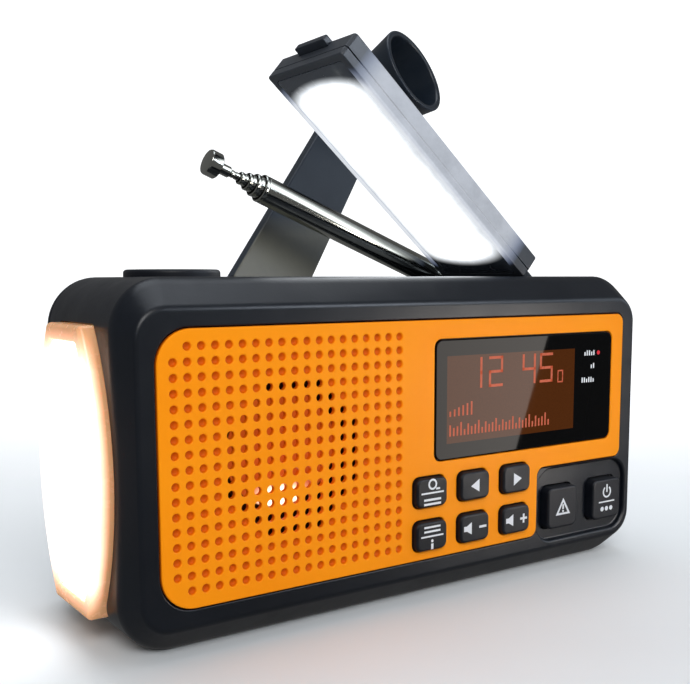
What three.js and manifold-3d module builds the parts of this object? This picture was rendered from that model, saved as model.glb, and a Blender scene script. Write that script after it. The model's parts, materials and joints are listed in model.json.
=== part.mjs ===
// Emergency radio: hand crank, raised solar and lamp lid, telescopic antenna, side torch.
// Millimetres, +Z up, front towards -Y. Origin: centre of the flat underside.
import * as THREE from 'three';
import { mergeVertices } from 'three/addons/utils/BufferGeometryUtils.js';
import Module from 'manifold-3d';

const wasm = await Module();
wasm.setup();

// ---------- driving dimensions ----------
const GAP = 0.3;                 // clearance kept between neighbouring pieces
const FAR = 100;                 // long enough for a cut to run right through
const BODY_W = 166.4;            // case width
const BODY_D = 56.8;             // case depth
const BODY_H = 85.6;             // case height
const BODY_R = 12.5;             // corner radius of the case seen from the front
const FACE_R = 7;                // corner radius of the front and rear faces
const BEVEL_D = 6.9;             // depth of the bevel between face and side
const BEVEL_SIDE = 2.9;          // inward step of the bevel at the two ends
const BEVEL_TOP = 6.7;           // inward step of the bevel at top and bottom
const WALL = 2.2;                // case wall
const RING_STEPS = 5;            // facets in each rounded corner of the case
const FACE_WALL = 3;             // front wall, which carries the front plate
const SEAM_Y = 19.65;            // plane where the front and rear shells meet

const PLATE_X0 = -75.8;          // orange front plate
const PLATE_X1 = 75.1;
const PLATE_Z0 = 11.2;
const PLATE_Z1 = 74.4;
const PLATE_LEFT_R = 8.2;
const PLATE_RIGHT_R = 2.6;
const PLATE_T = 1.5;
const PLATE_PROUD = 0.4;
const PLATE_POCKET = 1.4;        // depth of the shallow pocket that holds the plate
const CUTOUT_X = 40.2;           // the plate stops here beside the lower right key panel
const CUTOUT_Z = 30.8;

const GRILLE_PITCH = 3.44;
const GRILLE_COLS = 19;
const GRILLE_ROWS = 17;
const GRILLE_X0 = -72;
const GRILLE_Z0 = 70.5;
const GRILLE_HOLE_R = 0.95;
const SPEAKER_COL = 9;           // grille column and row at the speaker's centre
const SPEAKER_ROW = 8;
const SPEAKER_REACH = [5, 5, 5, 4, 3, 2];   // half-width of the open holes, by row from the centre

const SPEAKER_OPENING_R = 19.8;
const SPEAKER_FRAME = [
  [18, -25], [21, -25], [21, -22], [12, -13.2], [12, -12], [8, -12], [8, -13.4], [18, -21.4],
];
const SPEAKER_CONE = [
  [0, -19], [3, -18.4], [5.5, -17.2], [17.4, -24.4], [17.4, -23.6], [5.8, -16.4], [0, -16.4],
];
const MAGNET_R = 11;
const MAGNET_Y = [-11.7, -5];

const WINDOW = { x0: 1.8, x1: 69.9, z0: 37.3, z1: 69.1, r: 2.2 };
const DISPLAY = { x0: 4, x1: 58, z0: 39.6, z1: 66.8 };

const DISPLAY_Y = [-25.1, -20.6];
const BOARD = { x0: -14, x1: 77, y0: -17.4, y1: -15.8, z0: 14, z1: 67.4 };
const MAT = { x0: -8, x1: 76, y0: -20.6, y1: -17.8, z0: 13, z1: 34.8 };

const KEY_W = 10.4;
const KEY_H = 7.8;
const KEY_XS = [-0.2, 14.9, 30.4];
const KEY_ZS = [29.4, 17.8];
const KEY_PROUD = 1.9;
const KEY_END_Y = -21.9;
const KEY_RIM = 0.9;             // rim that keeps each key behind the front wall
const KEY_RIM_Y = [-24.8, -23.8];
const BIG_KEY_PROUD = 1.2;
const PANEL = { x0: 40.2, x1: 78.2, z0: 8.8, z1: 30.1, r: 6, depth: 1.7 };
const BIG_KEY = 12.2;
const BIG_KEY_XS = [49.9, 68.9];
const BIG_KEY_Z = 18.5;

const TORCH_Z = 40.85;           // side torch: a barrel outline on the left end
const TORCH_HALF_H = 34;
const TORCH_END_Y = 11.2;
const TORCH_MID_Y = 20.6;
const TORCH_PROUD = 3.6;
const TORCH_SEAT = 3.8;          // how far the surround reaches into the case
const TORCH_RIM = 4;
const TORCH_TRAY = [-74.3, -75.6];
const TORCH_BOARD_X = [-73.9, -72.7];

const BUTTON_X = -58.6;          // round lamp button in the top
const BUTTON_R = 11.8;
const BUTTON_PROUD = 1.8;
const BUTTON_FLANGE = 1.1;

const LID_HINGE_X = 53.7;
const LID_HINGE_Z = 82.1;
const LID_REST = THREE.MathUtils.degToRad(40.5);
const LID_LENGTH = 85;
const LID_HALF_W = 18.1;
const LID_END = -9.3;            // hinge end of the lid, measured from the hinge axis
const LID_LOW = -3.9;            // lamp face, measured from the hinge axis, lid closed
const LID_SPLIT = -1.4;
const LID_TOP = 3.5;
const LID_CORNER = 1;
const LID_KNUCKLE_R = 2.6;
const LID_WALL = 1.8;
const LID_PIN_R = 1.1;
const LID_KNUCKLE_AT = 10.5;     // middle of each hinge knuckle across the lid
const LAMP_RIM = 2.2;            // frame left round the lamp window
const CELL_RIM = 7.5;            // cover left round the solar cell
const CATCH = { w: 14, z: 1.7, out: 2.2, in: 4, grip: 4.9, travel: 2 };
const RECESS_FLOOR = 77.9;
const RECESS_WALL = 1.8;         // wall left round the lid recess and the knob pocket
const RECESS_SIDE_WALL = 1.05;   // thinner wall beside the antenna groove
const CATCH_NOTCH = { reach: 3, halfW: 7.8, z: 82.2 };   // fingernail notch in front of the catch

const ANTENNA_X = 50.5;
const ANTENNA_Y = 24.3;
const ANTENNA_Z = 83.85;
const ANTENNA_REST = THREE.MathUtils.degToRad(21.05);
const ANTENNA_TUBE_END = 75.5;   // end of the outer tube, measured from the hinge
const ANTENNA_STEP = 2.35;       // how far each retracted section shows
const ANTENNA_TIP = 93.3;
const ANTENNA_TIP_R = 3.7;
const ANTENNA_TIP_L = 3.8;
const ANTENNA_RADII = [4.1, 3.35, 2.6, 1.85, 1.1];
const ANTENNA_TUBE_WALL = 0.35;
const ANTENNA_FOOT = { x0: 46.3, x1: 55.6, y0: 21.4, y1: 27.2, baseTop: 81, forkFloor: 80.6, fork: 1.5 };
const ANTENNA_EAR_R = 2.6;
const ANTENNA_PIN_R = 0.9;
const ANTENNA_TONGUE = 1.2;      // half-thickness of the tongue between the fork's ears
const GROOVE_Z = 79;
const GROOVE_Y = 19.9;
const GROOVE_FLOOR_T = 1.2;
const GROOVE_REACH = 3.2;        // how far the groove runs past the lid recess

const CRANK_X = -26.4;
const CRANK_Z = 66.2;
const CRANK_TURN = THREE.MathUtils.degToRad(49.6);   // arm direction above +X at rest
const CRANK_LEAN = THREE.MathUtils.degToRad(16.6);   // arm folded out from the back at rest
const HUB_R = 12.5;
const FOLD_PIN_R = 1.2;
const HUB_GAP = 0.5;             // hub disc to the rear face of the case
const HUB_T = 3;
const CRANK_SHAFT_R = 2.5;
const CRANK_SHAFT_Y0 = 12.6;
const FOLD_PIN_AT = 10.05;       // fold pin, measured from the crank axis
const FOLD_PIN_Y = 33.29;
const KNUCKLE_R = 2.9;           // knuckles of the fold, on the hub ears and on the arm
const EAR_AT = 6.2;              // middle of each hub ear, measured along the fold pin
const EAR_HALF = 2.1;
const TONGUE_HALF = 3.5;         // half-width of the arm's knuckle between the ears
const ARM_L = 97;                // fold pin to knob
const ARM_ROOT = 4;              // inner end of the arm, measured from the fold pin
const ARM_W_ROOT = 24.4;
const ARM_W_TIP = 19;
const ARM_FRONT = -4.8;          // arm faces, measured from the fold pin
const ARM_BACK = -0.4;
const KNOB_CANT = THREE.MathUtils.degToRad(15.3);
const KNOB_BASE = 4.2;
const KNOB_MOUTH = 20.6;
const KNOB_R_BASE = 11.8;
const KNOB_R_MOUTH = 14.7;
const KNOB_WALL = 2;
const KNOB_FLOOR = 2.2;
const KNOB_BORE = 1.9;
const SPINDLE_R = 1.6;
const KNOB_POCKET = { x0: 59.5, y0: 5, z0: 13.5, z1: 45.5 };

const GEAR_MODULE = 0.8;
const WHEEL_TEETH = 27;
const PINION_TEETH = 9;
const CRANK_GEAR_Y = [22, 25];
const MIDDLE_WHEEL_Y = [18.4, 20.8];
const MIDDLE_PINION_END = 25.4;
const MIDDLE_AXLE_Y = [13, 25.9];
const PINION_Y = [17.6, 21.2];
const PINION_AXLE_Y = [10.5, 18];
const AXLE_R = 1;
const GENERATOR_R = 11.5;
const GENERATOR_Y = [2, 13.4];
const GEAR_PLATE_Y = [14, 15.4];
const GEAR_PLATE_OUTLINE = [[-47, 62], [-34, 36], [-16, 32], [-4, 36], [-8, 58], [-20, 74.5], [-47, 72]];
const GEAR_PLATE_POSTS = [[-42.5, 67], [-29.5, 41]];
const GEAR_PLATE_POST_R = 2;
const GEAR_LINE = THREE.MathUtils.degToRad(-60);      // the train steps down along this direction

const BATTERY_R = 9;             // single 18650-size cell lying along the bottom
const BATTERY = { x0: -8, x1: 56, y: -2, z: 13 };
const CRADLE = { wall: 1.2, half: 10.5, top: 9.5 };
const PORT = { x0: -54, x1: -28, z0: 12, z1: 26 };
const PORT_BOARD_Y = [16.4, 17.8];
const WIDE_SOCKET = [-51.6, -38.8, 15.8, 21.6];      // data socket body: x from and to, z from and to
const NARROW_SOCKET = [-35.6, -30, 14.8, 23.2];      // charging socket body
const WIDE_MOUTH = [-51, -39.4, 18.9, 21];
const NARROW_MOUTH = [-34.2, -31.6, 15.8, 22.2];
const SOCKET_Y = [17, 27];
const SOCKET_MOUTH_Y = 19;
const SCREW_HEAD_R = 2.5;
const SCREW_R = 1.2;
const SCREW_START = 8;
const BOSS_R = 3.2;
const SCREW_SPOTS = [[-65, 13.5], [-65, 71], [72, 71], [66, 8]];

// ---------- derived sizes ----------
const HALF_W = BODY_W / 2;
const HALF_D = BODY_D / 2;
const FRONT_Y = -HALF_D;
const POCKET_Y = FRONT_Y + PLATE_POCKET;
const INNER_FRONT_Y = FRONT_Y + FACE_WALL;
const PANEL_Y = FRONT_Y + PANEL.depth;
const PLATE_Y0 = FRONT_Y - PLATE_PROUD;
const PLATE_Y1 = PLATE_Y0 + PLATE_T;
const RECESS_HALF_W = LID_HALF_W + 0.35;
const RECESS_X0 = LID_HINGE_X + LID_END - LID_LENGTH - 0.6;
const RECESS_X1 = LID_HINGE_X + 4.3;
const SPEAKER_X = GRILLE_X0 + SPEAKER_COL * GRILLE_PITCH;
const SPEAKER_Z = GRILLE_Z0 - SPEAKER_ROW * GRILLE_PITCH;
const GEAR_DISTANCE = (WHEEL_TEETH + PINION_TEETH) * GEAR_MODULE / 2;
const MIDDLE_X = CRANK_X + GEAR_DISTANCE * Math.cos(GEAR_LINE);
const MIDDLE_Z = CRANK_Z + GEAR_DISTANCE * Math.sin(GEAR_LINE);
const PINION_X = MIDDLE_X + GEAR_DISTANCE * Math.cos(GEAR_LINE);
const PINION_Z = MIDDLE_Z + GEAR_DISTANCE * Math.sin(GEAR_LINE);

// ---------- materials ----------
function material(color, roughness, metalness = 0) {
  return () => new THREE.MeshStandardMaterial({ color, roughness, metalness });
}
const caseBlack = material(0x23262c, 0.5);
const plateOrange = material(0xf28a10, 0.45);
const keyBlack = material(0x15161a, 0.45);
const glassBlack = material(0x08080a, 0.08);
const amber = material(0xe0803a, 0.3);
const clearWhite = material(0xf4f6fa, 0.2);
const chrome = material(0xd8d8dc, 0.12, 1);
const steel = material(0x9a9ca0, 0.35, 1);
const nylonWhite = material(0xe6e4dc, 0.5);
const boardGreen = material(0x1c5a34, 0.5);
const rubber = material(0x17181a, 0.85);
const coneGrey = material(0x4a3a36, 0.8);
const solarBlue = material(0x0c1430, 0.2);
const cellGreen = material(0x3f8f5a, 0.4);

// ---------- solid helpers ----------
function solid(geometry) {
  const bare = geometry.index ? geometry.clone() : geometry;
  for (const name of Object.keys(bare.attributes)) {
    if (name !== 'position') {
      bare.deleteAttribute(name);
    }
  }
  const merged = mergeVertices(bare, 1e-4);
  return new wasm.Manifold(new wasm.Mesh({
    numProp: 3,
    vertProperties: new Float32Array(merged.attributes.position.array),
    triVerts: new Uint32Array(merged.index.array),
  }));
}

function geometryOf(manifold) {
  const mesh = manifold.getMesh();
  const geometry = new THREE.BufferGeometry();
  geometry.setAttribute('position', new THREE.BufferAttribute(new Float32Array(mesh.vertProperties), 3));
  geometry.setIndex(new THREE.BufferAttribute(new Uint32Array(mesh.triVerts), 1));
  geometry.computeVertexNormals();
  return geometry;
}

function addMesh(parent, name, shape, makeMaterial) {
  const geometry = shape.isBufferGeometry ? shape : geometryOf(shape);
  const mesh = new THREE.Mesh(geometry, makeMaterial());
  mesh.name = name;
  parent.add(mesh);
  return mesh;
}

function join(...solids) {
  return solids.reduce((a, b) => a.add(b));
}

function cut(body, ...tools) {
  return tools.reduce((a, b) => a.subtract(b), body);
}

// ---------- shape helpers ----------
function roundedRect(x0, y0, x1, y1, r) {
  const shape = new THREE.Shape();
  shape.moveTo(x0 + r, y0);
  shape.lineTo(x1 - r, y0);
  shape.absarc(x1 - r, y0 + r, r, -Math.PI / 2, 0);
  shape.lineTo(x1, y1 - r);
  shape.absarc(x1 - r, y1 - r, r, 0, Math.PI / 2);
  shape.lineTo(x0 + r, y1);
  shape.absarc(x0 + r, y1 - r, r, Math.PI / 2, Math.PI);
  shape.lineTo(x0, y0 + r);
  shape.absarc(x0 + r, y0 + r, r, Math.PI, 1.5 * Math.PI);
  return shape;
}

function extrude(shape, depth, curveSegments = 2) {
  return new THREE.ExtrudeGeometry(shape, { depth, bevelEnabled: false, curveSegments });
}

// shape drawn in X and Z, running along Y
function prismY(shape, y0, y1, curveSegments) {
  const geometry = extrude(shape, y1 - y0, curveSegments);
  return solid(geometry.rotateX(Math.PI / 2).translate(0, y1, 0));
}

// shape drawn in Y and Z, running along X
function prismX(shape, x0, x1, curveSegments) {
  const turn = new THREE.Matrix4().makeBasis(
    new THREE.Vector3(0, 1, 0),
    new THREE.Vector3(0, 0, 1),
    new THREE.Vector3(1, 0, 0),
  );
  const geometry = extrude(shape, x1 - x0, curveSegments);
  return solid(geometry.applyMatrix4(turn).translate(x0, 0, 0));
}

// shape drawn in X and Y, running along Z
function prismZ(shape, z0, z1, curveSegments) {
  return solid(extrude(shape, z1 - z0, curveSegments).translate(0, 0, z0));
}

function box(x0, x1, y0, y1, z0, z1) {
  const geometry = new THREE.BoxGeometry(x1 - x0, y1 - y0, z1 - z0);
  return solid(geometry.translate((x0 + x1) / 2, (y0 + y1) / 2, (z0 + z1) / 2));
}

function rodX(y, z, r, x0, x1, segments = 16) {
  const geometry = new THREE.CylinderGeometry(r, r, x1 - x0, segments);
  return solid(geometry.rotateZ(Math.PI / 2).translate((x0 + x1) / 2, y, z));
}

function rodY(x, z, r, y0, y1, segments = 16) {
  const geometry = new THREE.CylinderGeometry(r, r, y1 - y0, segments);
  return solid(geometry.translate(x, (y0 + y1) / 2, z));
}

function rodZ(x, y, r, z0, z1, segments = 16) {
  const geometry = new THREE.CylinderGeometry(r, r, z1 - z0, segments);
  return solid(geometry.rotateX(Math.PI / 2).translate(x, y, (z0 + z1) / 2));
}

// closed profile of [radius, height] pairs turned about Y
function lathe(profile, segments = 24) {
  const points = profile.map(([r, y]) => new THREE.Vector2(r, y));
  const last = profile[profile.length - 1];
  const onAxis = profile[0][0] === 0 && last[0] === 0;
  if (!onAxis) {
    points.push(points[0].clone());
  }
  return solid(new THREE.LatheGeometry(points, segments));
}

// a convex solid skinned through matching rings of points, first ring to last
function loft(rings) {
  const count = rings[0].length;
  const positions = [];
  for (const ring of rings) {
    for (const point of ring) {
      positions.push(point.x, point.y, point.z);
    }
  }
  const index = [];
  for (let layer = 0; layer + 1 < rings.length; layer += 1) {
    for (let i = 0; i < count; i += 1) {
      const a = layer * count + i;
      const b = layer * count + (i + 1) % count;
      index.push(a, b, b + count, a, b + count, a + count);
    }
  }
  const top = (rings.length - 1) * count;
  for (let i = 1; i + 1 < count; i += 1) {
    index.push(0, i + 1, i);
    index.push(top, top + i, top + i + 1);
  }
  const geometry = new THREE.BufferGeometry();
  geometry.setAttribute('position', new THREE.Float32BufferAttribute(positions, 3));
  geometry.setIndex(index);
  return solid(geometry);
}

// one closed ring of the case outline, the same number of points whatever the inset
function ringAt(y, insetX, insetZ, r) {
  const x = HALF_W - insetX - r;
  const z = BODY_H / 2 - insetZ - r;
  const centres = [[x, z], [x, -z], [-x, -z], [-x, z]];
  const ring = [];
  centres.forEach(([cx, cz], corner) => {
    for (let step = 0; step <= RING_STEPS; step += 1) {
      const angle = Math.PI / 2 * (1 - corner - step / RING_STEPS);
      ring.push(new THREE.Vector3(cx + r * Math.cos(angle), y, BODY_H / 2 + cz + r * Math.sin(angle)));
    }
  });
  return ring;
}

// the bevelled case block, shrunk inwards by a wall thickness
function caseBlock(wall, faceWall) {
  const depth = HALF_D - faceWall;
  const rearDepth = HALF_D - wall;
  const shoulder = HALF_D - BEVEL_D;
  const innerR = BODY_R - wall;
  const faceR = FACE_R - wall / 2;
  return loft([
    ringAt(-depth, BEVEL_SIDE + wall, BEVEL_TOP + wall, faceR),
    ringAt(-shoulder, wall, wall, innerR),
    ringAt(shoulder, wall, wall, innerR),
    ringAt(rearDepth, BEVEL_SIDE + wall, BEVEL_TOP + wall, faceR),
  ]);
}

// involute spur gear outline with a tooth centred on the given direction
function gearShape(teeth, phase) {
  const pitchR = teeth * GEAR_MODULE / 2;
  const baseR = pitchR * Math.cos(Math.PI / 9);
  const tipR = pitchR + 0.75 * GEAR_MODULE;
  const rootR = pitchR - 1.05 * GEAR_MODULE;
  const flankStart = Math.max(baseR, rootR);
  const involute = (r) => {
    const angle = Math.acos(Math.min(1, baseR / r));
    return Math.tan(angle) - angle;
  };
  const halfTooth = Math.PI / (2 * teeth) * 0.8 + involute(pitchR);
  const flank = [rootR, pitchR, tipR];
  const points = [];
  const polar = (r, angle) => [r * Math.cos(angle), r * Math.sin(angle)];
  for (let tooth = 0; tooth < teeth; tooth += 1) {
    const centre = phase + tooth * 2 * Math.PI / teeth;
    const rising = flank.map((r) => polar(r, centre - halfTooth + involute(Math.max(r, flankStart))));
    const falling = flank.map((r) => polar(r, centre + halfTooth - involute(Math.max(r, flankStart))));
    points.push(...rising, ...falling.reverse());
  }
  return new THREE.Shape(points.map(([x, y]) => new THREE.Vector2(x, y)));
}

function gear(teeth, phase, x, z, y0, y1) {
  return prismY(gearShape(teeth, phase), y0, y1).translate([x, 0, z]);
}

const radio = new THREE.Group();

// ---------- case ----------
function plateOutline(grow, stepGap) {
  const shape = new THREE.Shape();
  const left = PLATE_X0 - grow;
  const right = PLATE_X1 + grow;
  const low = PLATE_Z0 - grow;
  const high = PLATE_Z1 + grow;
  const stepX = CUTOUT_X - GAP;
  const stepZ = CUTOUT_Z + stepGap;
  const bigR = PLATE_LEFT_R;
  const smallR = PLATE_RIGHT_R;
  shape.moveTo(left + bigR, low);
  shape.lineTo(stepX - smallR, low);
  shape.absarc(stepX - smallR, low + smallR, smallR, -Math.PI / 2, 0);
  shape.lineTo(stepX, stepZ - smallR);
  shape.absarc(stepX + smallR, stepZ - smallR, smallR, Math.PI, Math.PI / 2, true);
  shape.lineTo(right - smallR, stepZ);
  shape.absarc(right - smallR, stepZ + smallR, smallR, -Math.PI / 2, 0);
  shape.lineTo(right, high - smallR);
  shape.absarc(right - smallR, high - smallR, smallR, 0, Math.PI / 2);
  shape.lineTo(left + bigR, high);
  shape.absarc(left + bigR, high - bigR, bigR, Math.PI / 2, Math.PI);
  shape.lineTo(left, low + bigR);
  shape.absarc(left + bigR, low + bigR, bigR, Math.PI, 1.5 * Math.PI);
  return shape;
}

function torchOutline(inset) {
  const halfH = TORCH_HALF_H - inset;
  const mid = TORCH_MID_Y - inset;
  const bulge = TORCH_MID_Y - TORCH_END_Y;
  const radius = (TORCH_HALF_H ** 2 + bulge ** 2) / (2 * bulge) - inset;
  const centre = mid - radius;
  const reach = Math.asin(halfH / radius);
  const shape = new THREE.Shape();
  shape.moveTo(centre + radius * Math.cos(reach), TORCH_Z - halfH);
  shape.absarc(centre, TORCH_Z, radius, -reach, reach);
  shape.absarc(-centre, TORCH_Z, radius, Math.PI - reach, Math.PI + reach);
  return shape;
}

function torchOpening() {
  return prismX(torchOutline(-GAP), -HALF_W - 5, -HALF_W + WALL + 3, 5);
}

function screwBosses() {
  const posts = SCREW_SPOTS.map(([x, z]) => rodY(x, z, BOSS_R, INNER_FRONT_Y - 0.5, SEAM_Y - GAP / 2, 12));
  return join(...posts);
}

function keyHole(x, z, w, h) {
  return prismY(
    roundedRect(x - w / 2 - GAP, z - h / 2 - GAP, x + w / 2 + GAP, z + h / 2 + GAP, 1.8),
    FRONT_Y - 1,
    INNER_FRONT_Y + 1,
    1,
  );
}

function smallKeyHoles() {
  return KEY_ZS.flatMap((z) => KEY_XS.map((x) => keyHole(x, z, KEY_W, KEY_H)));
}

function wholeCase() {
  const outer = caseBlock(0, 0);
  const hollow = caseBlock(WALL, FACE_WALL);
  const wall = RECESS_WALL;
  const side = RECESS_HALF_W + RECESS_SIDE_WALL;
  const notch = CATCH_NOTCH;
  const notchX = RECESS_X0 - notch.reach;
  const grooveX = RECESS_X0 - GROOVE_REACH;
  const recessWalls = box(notchX - 0.4, RECESS_X1 + wall, -side, side, RECESS_FLOOR - wall, BODY_H);
  const grooveFloor = box(
    grooveX - wall, RECESS_X1 + wall, GROOVE_Y, HALF_D, GROOVE_Z - GROOVE_FLOOR_T, BODY_H,
  );
  const pocket = KNOB_POCKET;
  const pocketWalls = box(
    pocket.x0 - wall, HALF_W, pocket.y0 - wall, HALF_D, pocket.z0 - wall, pocket.z1 + wall,
  );
  const added = join(recessWalls, grooveFloor, pocketWalls, screwBosses()).intersect(outer);
  const shell = outer.subtract(hollow).add(added);
  return cut(
    shell,
    box(RECESS_X0, RECESS_X1, -RECESS_HALF_W, RECESS_HALF_W, RECESS_FLOOR, BODY_H + 5),
    box(notchX, RECESS_X0 + 1, -notch.halfW, notch.halfW, notch.z, BODY_H + 5),
    box(grooveX, RECESS_X1, GROOVE_Y, FAR, GROOVE_Z, BODY_H + 5),
    box(pocket.x0, HALF_W + 5, pocket.y0, HALF_D + 5, pocket.z0, pocket.z1),
    rodY(LID_HINGE_X, LID_HINGE_Z, LID_PIN_R + GAP, -RECESS_HALF_W - 2, RECESS_HALF_W + 0.8),
  );
}

function frontOpenings() {
  return [
    prismY(plateOutline(GAP, 0), FRONT_Y - 1, POCKET_Y),
    prismY(roundedRect(PANEL.x0 + 0.2, PANEL.z0, PANEL.x1, PANEL.z1, PANEL.r), FRONT_Y - 1, PANEL_Y),
    prismY(roundedRect(DISPLAY.x0, DISPLAY.z0, DISPLAY.x1, DISPLAY.z1, 1), FRONT_Y - 1, INNER_FRONT_Y + 1),
    rodY(SPEAKER_X, SPEAKER_Z, SPEAKER_OPENING_R, FRONT_Y - 1, INNER_FRONT_Y + 1, 24),
    ...smallKeyHoles(),
    ...BIG_KEY_XS.map((x) => keyHole(x, BIG_KEY_Z, BIG_KEY, BIG_KEY)),
    torchOpening(),
    rodZ(BUTTON_X, 0, BUTTON_R + GAP, BODY_H - WALL - 1, BODY_H + 1, 32),
  ];
}

function addShells() {
  const whole = wholeCase();
  const frontHalf = whole.intersect(box(-FAR, FAR, -FAR, SEAM_Y - GAP / 2, -1, FAR));
  const rearHalf = whole.intersect(box(-FAR, FAR, SEAM_Y + GAP / 2, FAR, -1, FAR));
  const bores = SCREW_SPOTS.map(([x, z]) => rodY(x, z, SCREW_R + GAP, SCREW_START - 2, FAR, 12));
  const counterbores = SCREW_SPOTS.map(([x, z]) => rodY(x, z, SCREW_HEAD_R + 0.4, HALF_D - 1.6, FAR, 12));
  addMesh(radio, 'front_shell', cut(frontHalf, ...frontOpenings(), ...bores), caseBlack);
  const socketHole = ([x0, x1, z0, z1]) => box(x0 - 0.4, x1 + 0.4, SEAM_Y, FAR, z0 - 0.4, z1 + 0.4);
  const rear = cut(
    rearHalf,
    ...bores,
    ...counterbores,
    torchOpening(),
    rodY(CRANK_X, CRANK_Z, CRANK_SHAFT_R + GAP, SEAM_Y, FAR, 16),
    box(PORT.x0, PORT.x1, HALF_D - 1, FAR, PORT.z0, PORT.z1),
    socketHole(WIDE_SOCKET),
    socketHole(NARROW_SOCKET),
  );
  addMesh(radio, 'rear_shell', rear, caseBlack);
}

function grilleHoles() {
  const drill = rodY(0, 0, GRILLE_HOLE_R, PLATE_Y0 - 1, PLATE_Y1 + 1, 5);
  const holes = [];
  for (let row = 0; row < GRILLE_ROWS; row += 1) {
    const reach = SPEAKER_REACH[Math.abs(row - SPEAKER_ROW)];
    for (let col = 0; col < GRILLE_COLS; col += 1) {
      if (reach !== undefined && Math.abs(col - SPEAKER_COL) <= reach) {
        const x = GRILLE_X0 + col * GRILLE_PITCH;
        const z = GRILLE_Z0 - row * GRILLE_PITCH;
        holes.push(drill.translate([x, 0, z]));
      }
    }
  }
  return holes;
}

function addFrontPlate() {
  const w = WINDOW;
  const window = roundedRect(w.x0 - GAP, w.z0 - GAP, w.x1 + GAP, w.z1 + GAP, w.r);
  const plate = cut(
    prismY(plateOutline(0, GAP), PLATE_Y0, PLATE_Y1 - 0.1),
    prismY(window, PLATE_Y0 - 1, PLATE_Y1 + 1),
    ...smallKeyHoles(),
    ...grilleHoles(),
  );
  addMesh(radio, 'front_plate', plate, plateOrange);
  const glass = prismY(roundedRect(w.x0, w.z0, w.x1, w.z1, w.r), PLATE_Y0 - 0.1, PLATE_Y1 - 0.1);
  addMesh(radio, 'display_window', glass, glassBlack);
}

// ---------- display, boards and keys ----------
function addElectronics() {
  const d = DISPLAY;
  const b = BOARD;
  const m = MAT;
  const module = box(d.x0 - 1, d.x1 + 1, DISPLAY_Y[0], DISPLAY_Y[1], d.z0 - 1.2, d.z1 + 1.2);
  addMesh(radio, 'display_module', module, glassBlack);
  addMesh(radio, 'main_board', box(b.x0, b.x1, b.y0, b.y1, b.z0, b.z1), boardGreen);
  addMesh(radio, 'keypad_mat', box(m.x0, m.x1, m.y0, m.y1, m.z0, m.z1), rubber);
}

function keySolid(x, z, w, h, y0) {
  const halfW = w / 2;
  const halfH = h / 2;
  const cap = prismY(roundedRect(x - halfW, z - halfH, x + halfW, z + halfH, 1.6), y0, KEY_END_Y, 1);
  const rimW = halfW + KEY_RIM;
  const rimH = halfH + KEY_RIM;
  return cap.add(box(x - rimW, x + rimW, KEY_RIM_Y[0], KEY_RIM_Y[1], z - rimH, z + rimH));
}

function addKeys() {
  const names = [['key_scan', 'key_previous', 'key_next'], ['key_menu', 'key_volume_down', 'key_volume_up']];
  KEY_ZS.forEach((z, row) => {
    KEY_XS.forEach((x, col) => {
      addMesh(radio, names[row][col], keySolid(x, z, KEY_W, KEY_H, FRONT_Y - KEY_PROUD), keyBlack);
    });
  });
  ['key_alarm', 'key_power'].forEach((name, i) => {
    const key = keySolid(BIG_KEY_XS[i], BIG_KEY_Z, BIG_KEY, BIG_KEY, FRONT_Y - BIG_KEY_PROUD);
    addMesh(radio, name, key, keyBlack);
  });
}

// ---------- speaker ----------
function addSpeaker() {
  const place = (s) => s.translate([SPEAKER_X, 0, SPEAKER_Z]);
  addMesh(radio, 'speaker_frame', place(lathe(SPEAKER_FRAME)), steel);
  addMesh(radio, 'speaker_cone', place(lathe(SPEAKER_CONE)), coneGrey);
  addMesh(radio, 'speaker_magnet', rodY(SPEAKER_X, SPEAKER_Z, MAGNET_R, MAGNET_Y[0], MAGNET_Y[1], 20), steel);
}

// ---------- side torch ----------
function addTorch() {
  const face = -HALF_W - TORCH_PROUD;
  const inside = torchOutline(TORCH_RIM + GAP);
  const opening = prismX(torchOutline(TORCH_RIM), face - 1, 0, 5);
  const bezel = prismX(torchOutline(0), face, -HALF_W + TORCH_SEAT, 5).subtract(opening);
  addMesh(radio, 'torch_bezel', bezel, amber);
  addMesh(radio, 'torch_lens', prismX(inside, face + 0.5, face + 2.1, 5), clearWhite);
  const tray = prismX(inside, face + 2.5, TORCH_TRAY[0], 5);
  const dish = prismX(torchOutline(TORCH_RIM + 1.6), face, TORCH_TRAY[1], 5);
  addMesh(radio, 'torch_reflector', tray.subtract(dish), chrome);
  const board = prismX(torchOutline(TORCH_RIM + 2), TORCH_BOARD_X[0], TORCH_BOARD_X[1], 5);
  addMesh(radio, 'torch_led_board', board, boardGreen);
}

// ---------- top button ----------
function addButton() {
  const low = BODY_H - 4;
  const cap = rodZ(BUTTON_X, 0, BUTTON_R, low + 0.4, BODY_H + BUTTON_PROUD, 32);
  const flange = rodZ(BUTTON_X, 0, BUTTON_R + BUTTON_FLANGE, low, BODY_H - WALL - 0.6, 32);
  addMesh(radio, 'lamp_button', cap.add(flange), keyBlack);
}

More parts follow.
